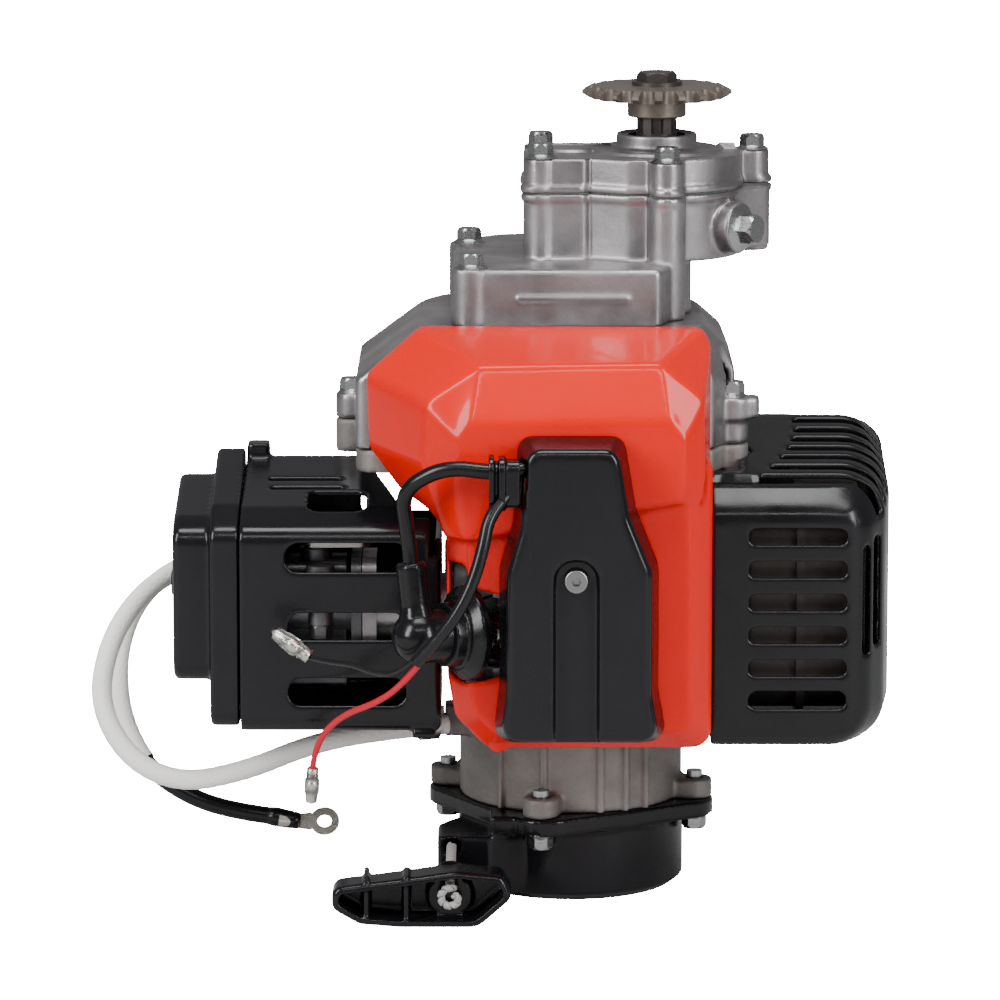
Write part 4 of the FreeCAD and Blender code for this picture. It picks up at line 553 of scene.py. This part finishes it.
finishes["clear_sleeve"] = finish_base("clear_sleeve", (0.93, 0.93, 0.91), 0.07, specular=0.6)
finishes["clear_sleeve"].node_tree.nodes["Principled BSDF"].inputs["Transmission Weight"].default_value = 0.96
relief(finishes["clear_sleeve"], noise(finishes["clear_sleeve"], 240, 2.0), 0.0003)
BULLET = [(0.0, 0.8), (0.02, 2.0), (0.25, 2.0), (0.27, 1.5), (0.36, 1.5), (0.38, 1.9), (0.6, 1.9),
          (0.62, 1.5), (0.8, 1.5), (0.94, 1.2), (1.0, 0.4)]
BOOT = [(0.0, 1.6), (0.02, 2.5), (0.3, 2.6), (0.36, 3.2), (0.7, 3.2), (0.8, 2.7), (0.93, 2.6), (1.0, 2.4)]
RED_BOOT = [(share, radius * 0.85) for share, radius in BOOT]
black_pieces = [turned("black_bullet", BLACK_ROUTE[-1], (-107.5, -105.5, 115), BULLET, "connector_metal"),
                turned("black_bullet_boot", BLACK_ROUTE[-1], (-106.2, -106.1, 114.1), BOOT, "clear_sleeve")]
red_pieces = [turned("red_bullet", RED_ROUTE[-1], (-94.2, -101.5, 51), BULLET, "connector_metal"),
              turned("red_bullet_boot", RED_ROUTE[-1], (-94.1, -101.7, 52), RED_BOOT, "clear_sleeve")]
for piece in black_pieces + red_pieces:
    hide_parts("bullet_connectors")
thin_cord("kill_sleeve", "kill_wire_sleeve", SLEEVE_ROUTE, 2.3 * MM, "wire_sleeve")
thin_cord("black_wire", "kill_wire_black", BLACK_ROUTE, 0.95 * MM, "wire_black")
thin_cord("red_wire", "kill_wire_red", RED_ROUTE, 1.15 * MM, "wire_red")

# %% Braided earth cable
CABLE_R, CABLE_SIDES = 3.75, 40
SHRINK_END = 0.055
BRAID_TURN, BRAID_STRANDS = 0.42, 6
cable_line = spaced(route_line(CABLE_ROUTE), 0.6 * MM)
ring_count = len(cable_line)
cable_length = sum((b - a).length for a, b in zip(cable_line, cable_line[1:]))
shrink_from = int(ring_count * (1 - SHRINK_END / cable_length))


def braid(i, angle):
    """Radius of the braid: two families of strands that cross."""
    if i >= shrink_from:
        return (CABLE_R - 0.5) * MM
    if i in (0, 1):
        return (CABLE_R - 0.25) * MM
    turn = i * BRAID_TURN
    weave = max(abs(math.sin(BRAID_STRANDS * angle + turn)), abs(math.sin(BRAID_STRANDS * angle - turn)))
    return (CABLE_R - 0.32 + 0.34 * weave) * MM


cable = new_piece("earth_cable_braid", tube(cable_line, CABLE_SIDES, braid), "glass_braid")
cable.data.materials.append(finishes["black_rubber"])
for face in cable.data.polygons:
    if min(face.vertices) // CABLE_SIDES >= shrink_from - 1:
        face.material_index = 1
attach(cable, "root")
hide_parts("earth_cable")
TERMINAL_TURN = math.radians(52)
eye_mesh = nodes["earth_terminal"].data.copy()
eye_mesh.transform(nodes["earth_terminal"].matrix_world)
pivot = Matrix.Translation(metres((-101.5, -27.2, 27.6)))
eye_mesh.transform(pivot @ Matrix.Rotation(TERMINAL_TURN, 4, "X") @ pivot.inverted())
eye = new_piece("earth_terminal_eye", eye_mesh, "connector_metal")
eye.data.polygons.foreach_set("use_smooth", [False] * len(eye.data.polygons))
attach(eye, "root")
SHRINK = [(0.0, 2.6), (0.03, 3.3), (0.3, 3.7), (0.5, 3.5), (0.8, 3.3), (0.95, 3.1), (1.0, 2.0)]
shrink = turned("terminal_shrink", (-113, -27, 29.6), (-100.6, -27.2, 27.4), SHRINK, "black_rubber")
for piece in (eye, shrink):
    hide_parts("earth_terminal")

# %% [markdown]
# ## Starter rope
# A laid rope of three strands from the guide to the handle, and its stopper loop in the handle's hollow
# side.

# %% Rope and knot
ROPE_STEPS = 80
ROPE_GUIDE, ROPE_END = (-44.3, -47.0, 22.6), (-44.7, -76.9, 15.8)
KNOT_ROUTE = [(-43.4, -78.3, 14.4), (-43.9, -80.6, 15.0), (-46.6, -81.2, 14.7), (-48.1, -81.2, 12.3),
              (-47.4, -81.0, 9.2), (-44.7, -80.8, 8.0), (-41.9, -80.8, 9.2), (-41.5, -81.2, 11.4),
              (-43.2, -81.4, 12.6)]


def joined(meshes):
    """One mesh of several."""
    merged = bmesh.new()
    for mesh in meshes:
        merged.from_mesh(mesh)
    whole = bpy.data.meshes.new("joined")
    merged.to_mesh(whole)
    merged.free()
    return whole


def twisted(points, strands, offset, radius, turns):
    """Strands that wind round a line of points."""
    side = (points[-1] - points[0]).orthogonal().normalized()
    built = []
    for strand in range(strands):
        path = []
        for i, point in enumerate(points):
            way = (points[min(i + 1, len(points) - 1)] - points[max(i - 1, 0)]).normalized()
            side = (side - way * side.dot(way)).normalized()
            angle = 2 * math.pi * (turns * i / (len(points) - 1) + strand / strands)
            path.append(point + (side * math.cos(angle) + way.cross(side) * math.sin(angle)) * offset)
        built.append(tube(path, 8, lambda i, a: radius))
    return built


guide, rope_end = metres(ROPE_GUIDE), metres(ROPE_END)
run = [guide.lerp(rope_end, i / ROPE_STEPS) for i in range(ROPE_STEPS + 1)]
knot = spaced(route_line(KNOT_ROUTE), 0.25 * MM)
strands = twisted(run, 3, 1.05 * MM, 0.85 * MM, 5) + twisted(knot, 3, 0.78 * MM, 0.72 * MM, 7)
rope = new_piece("starter_rope_laid", joined(strands), "rope")
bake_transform(rope)
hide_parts("starter_rope")
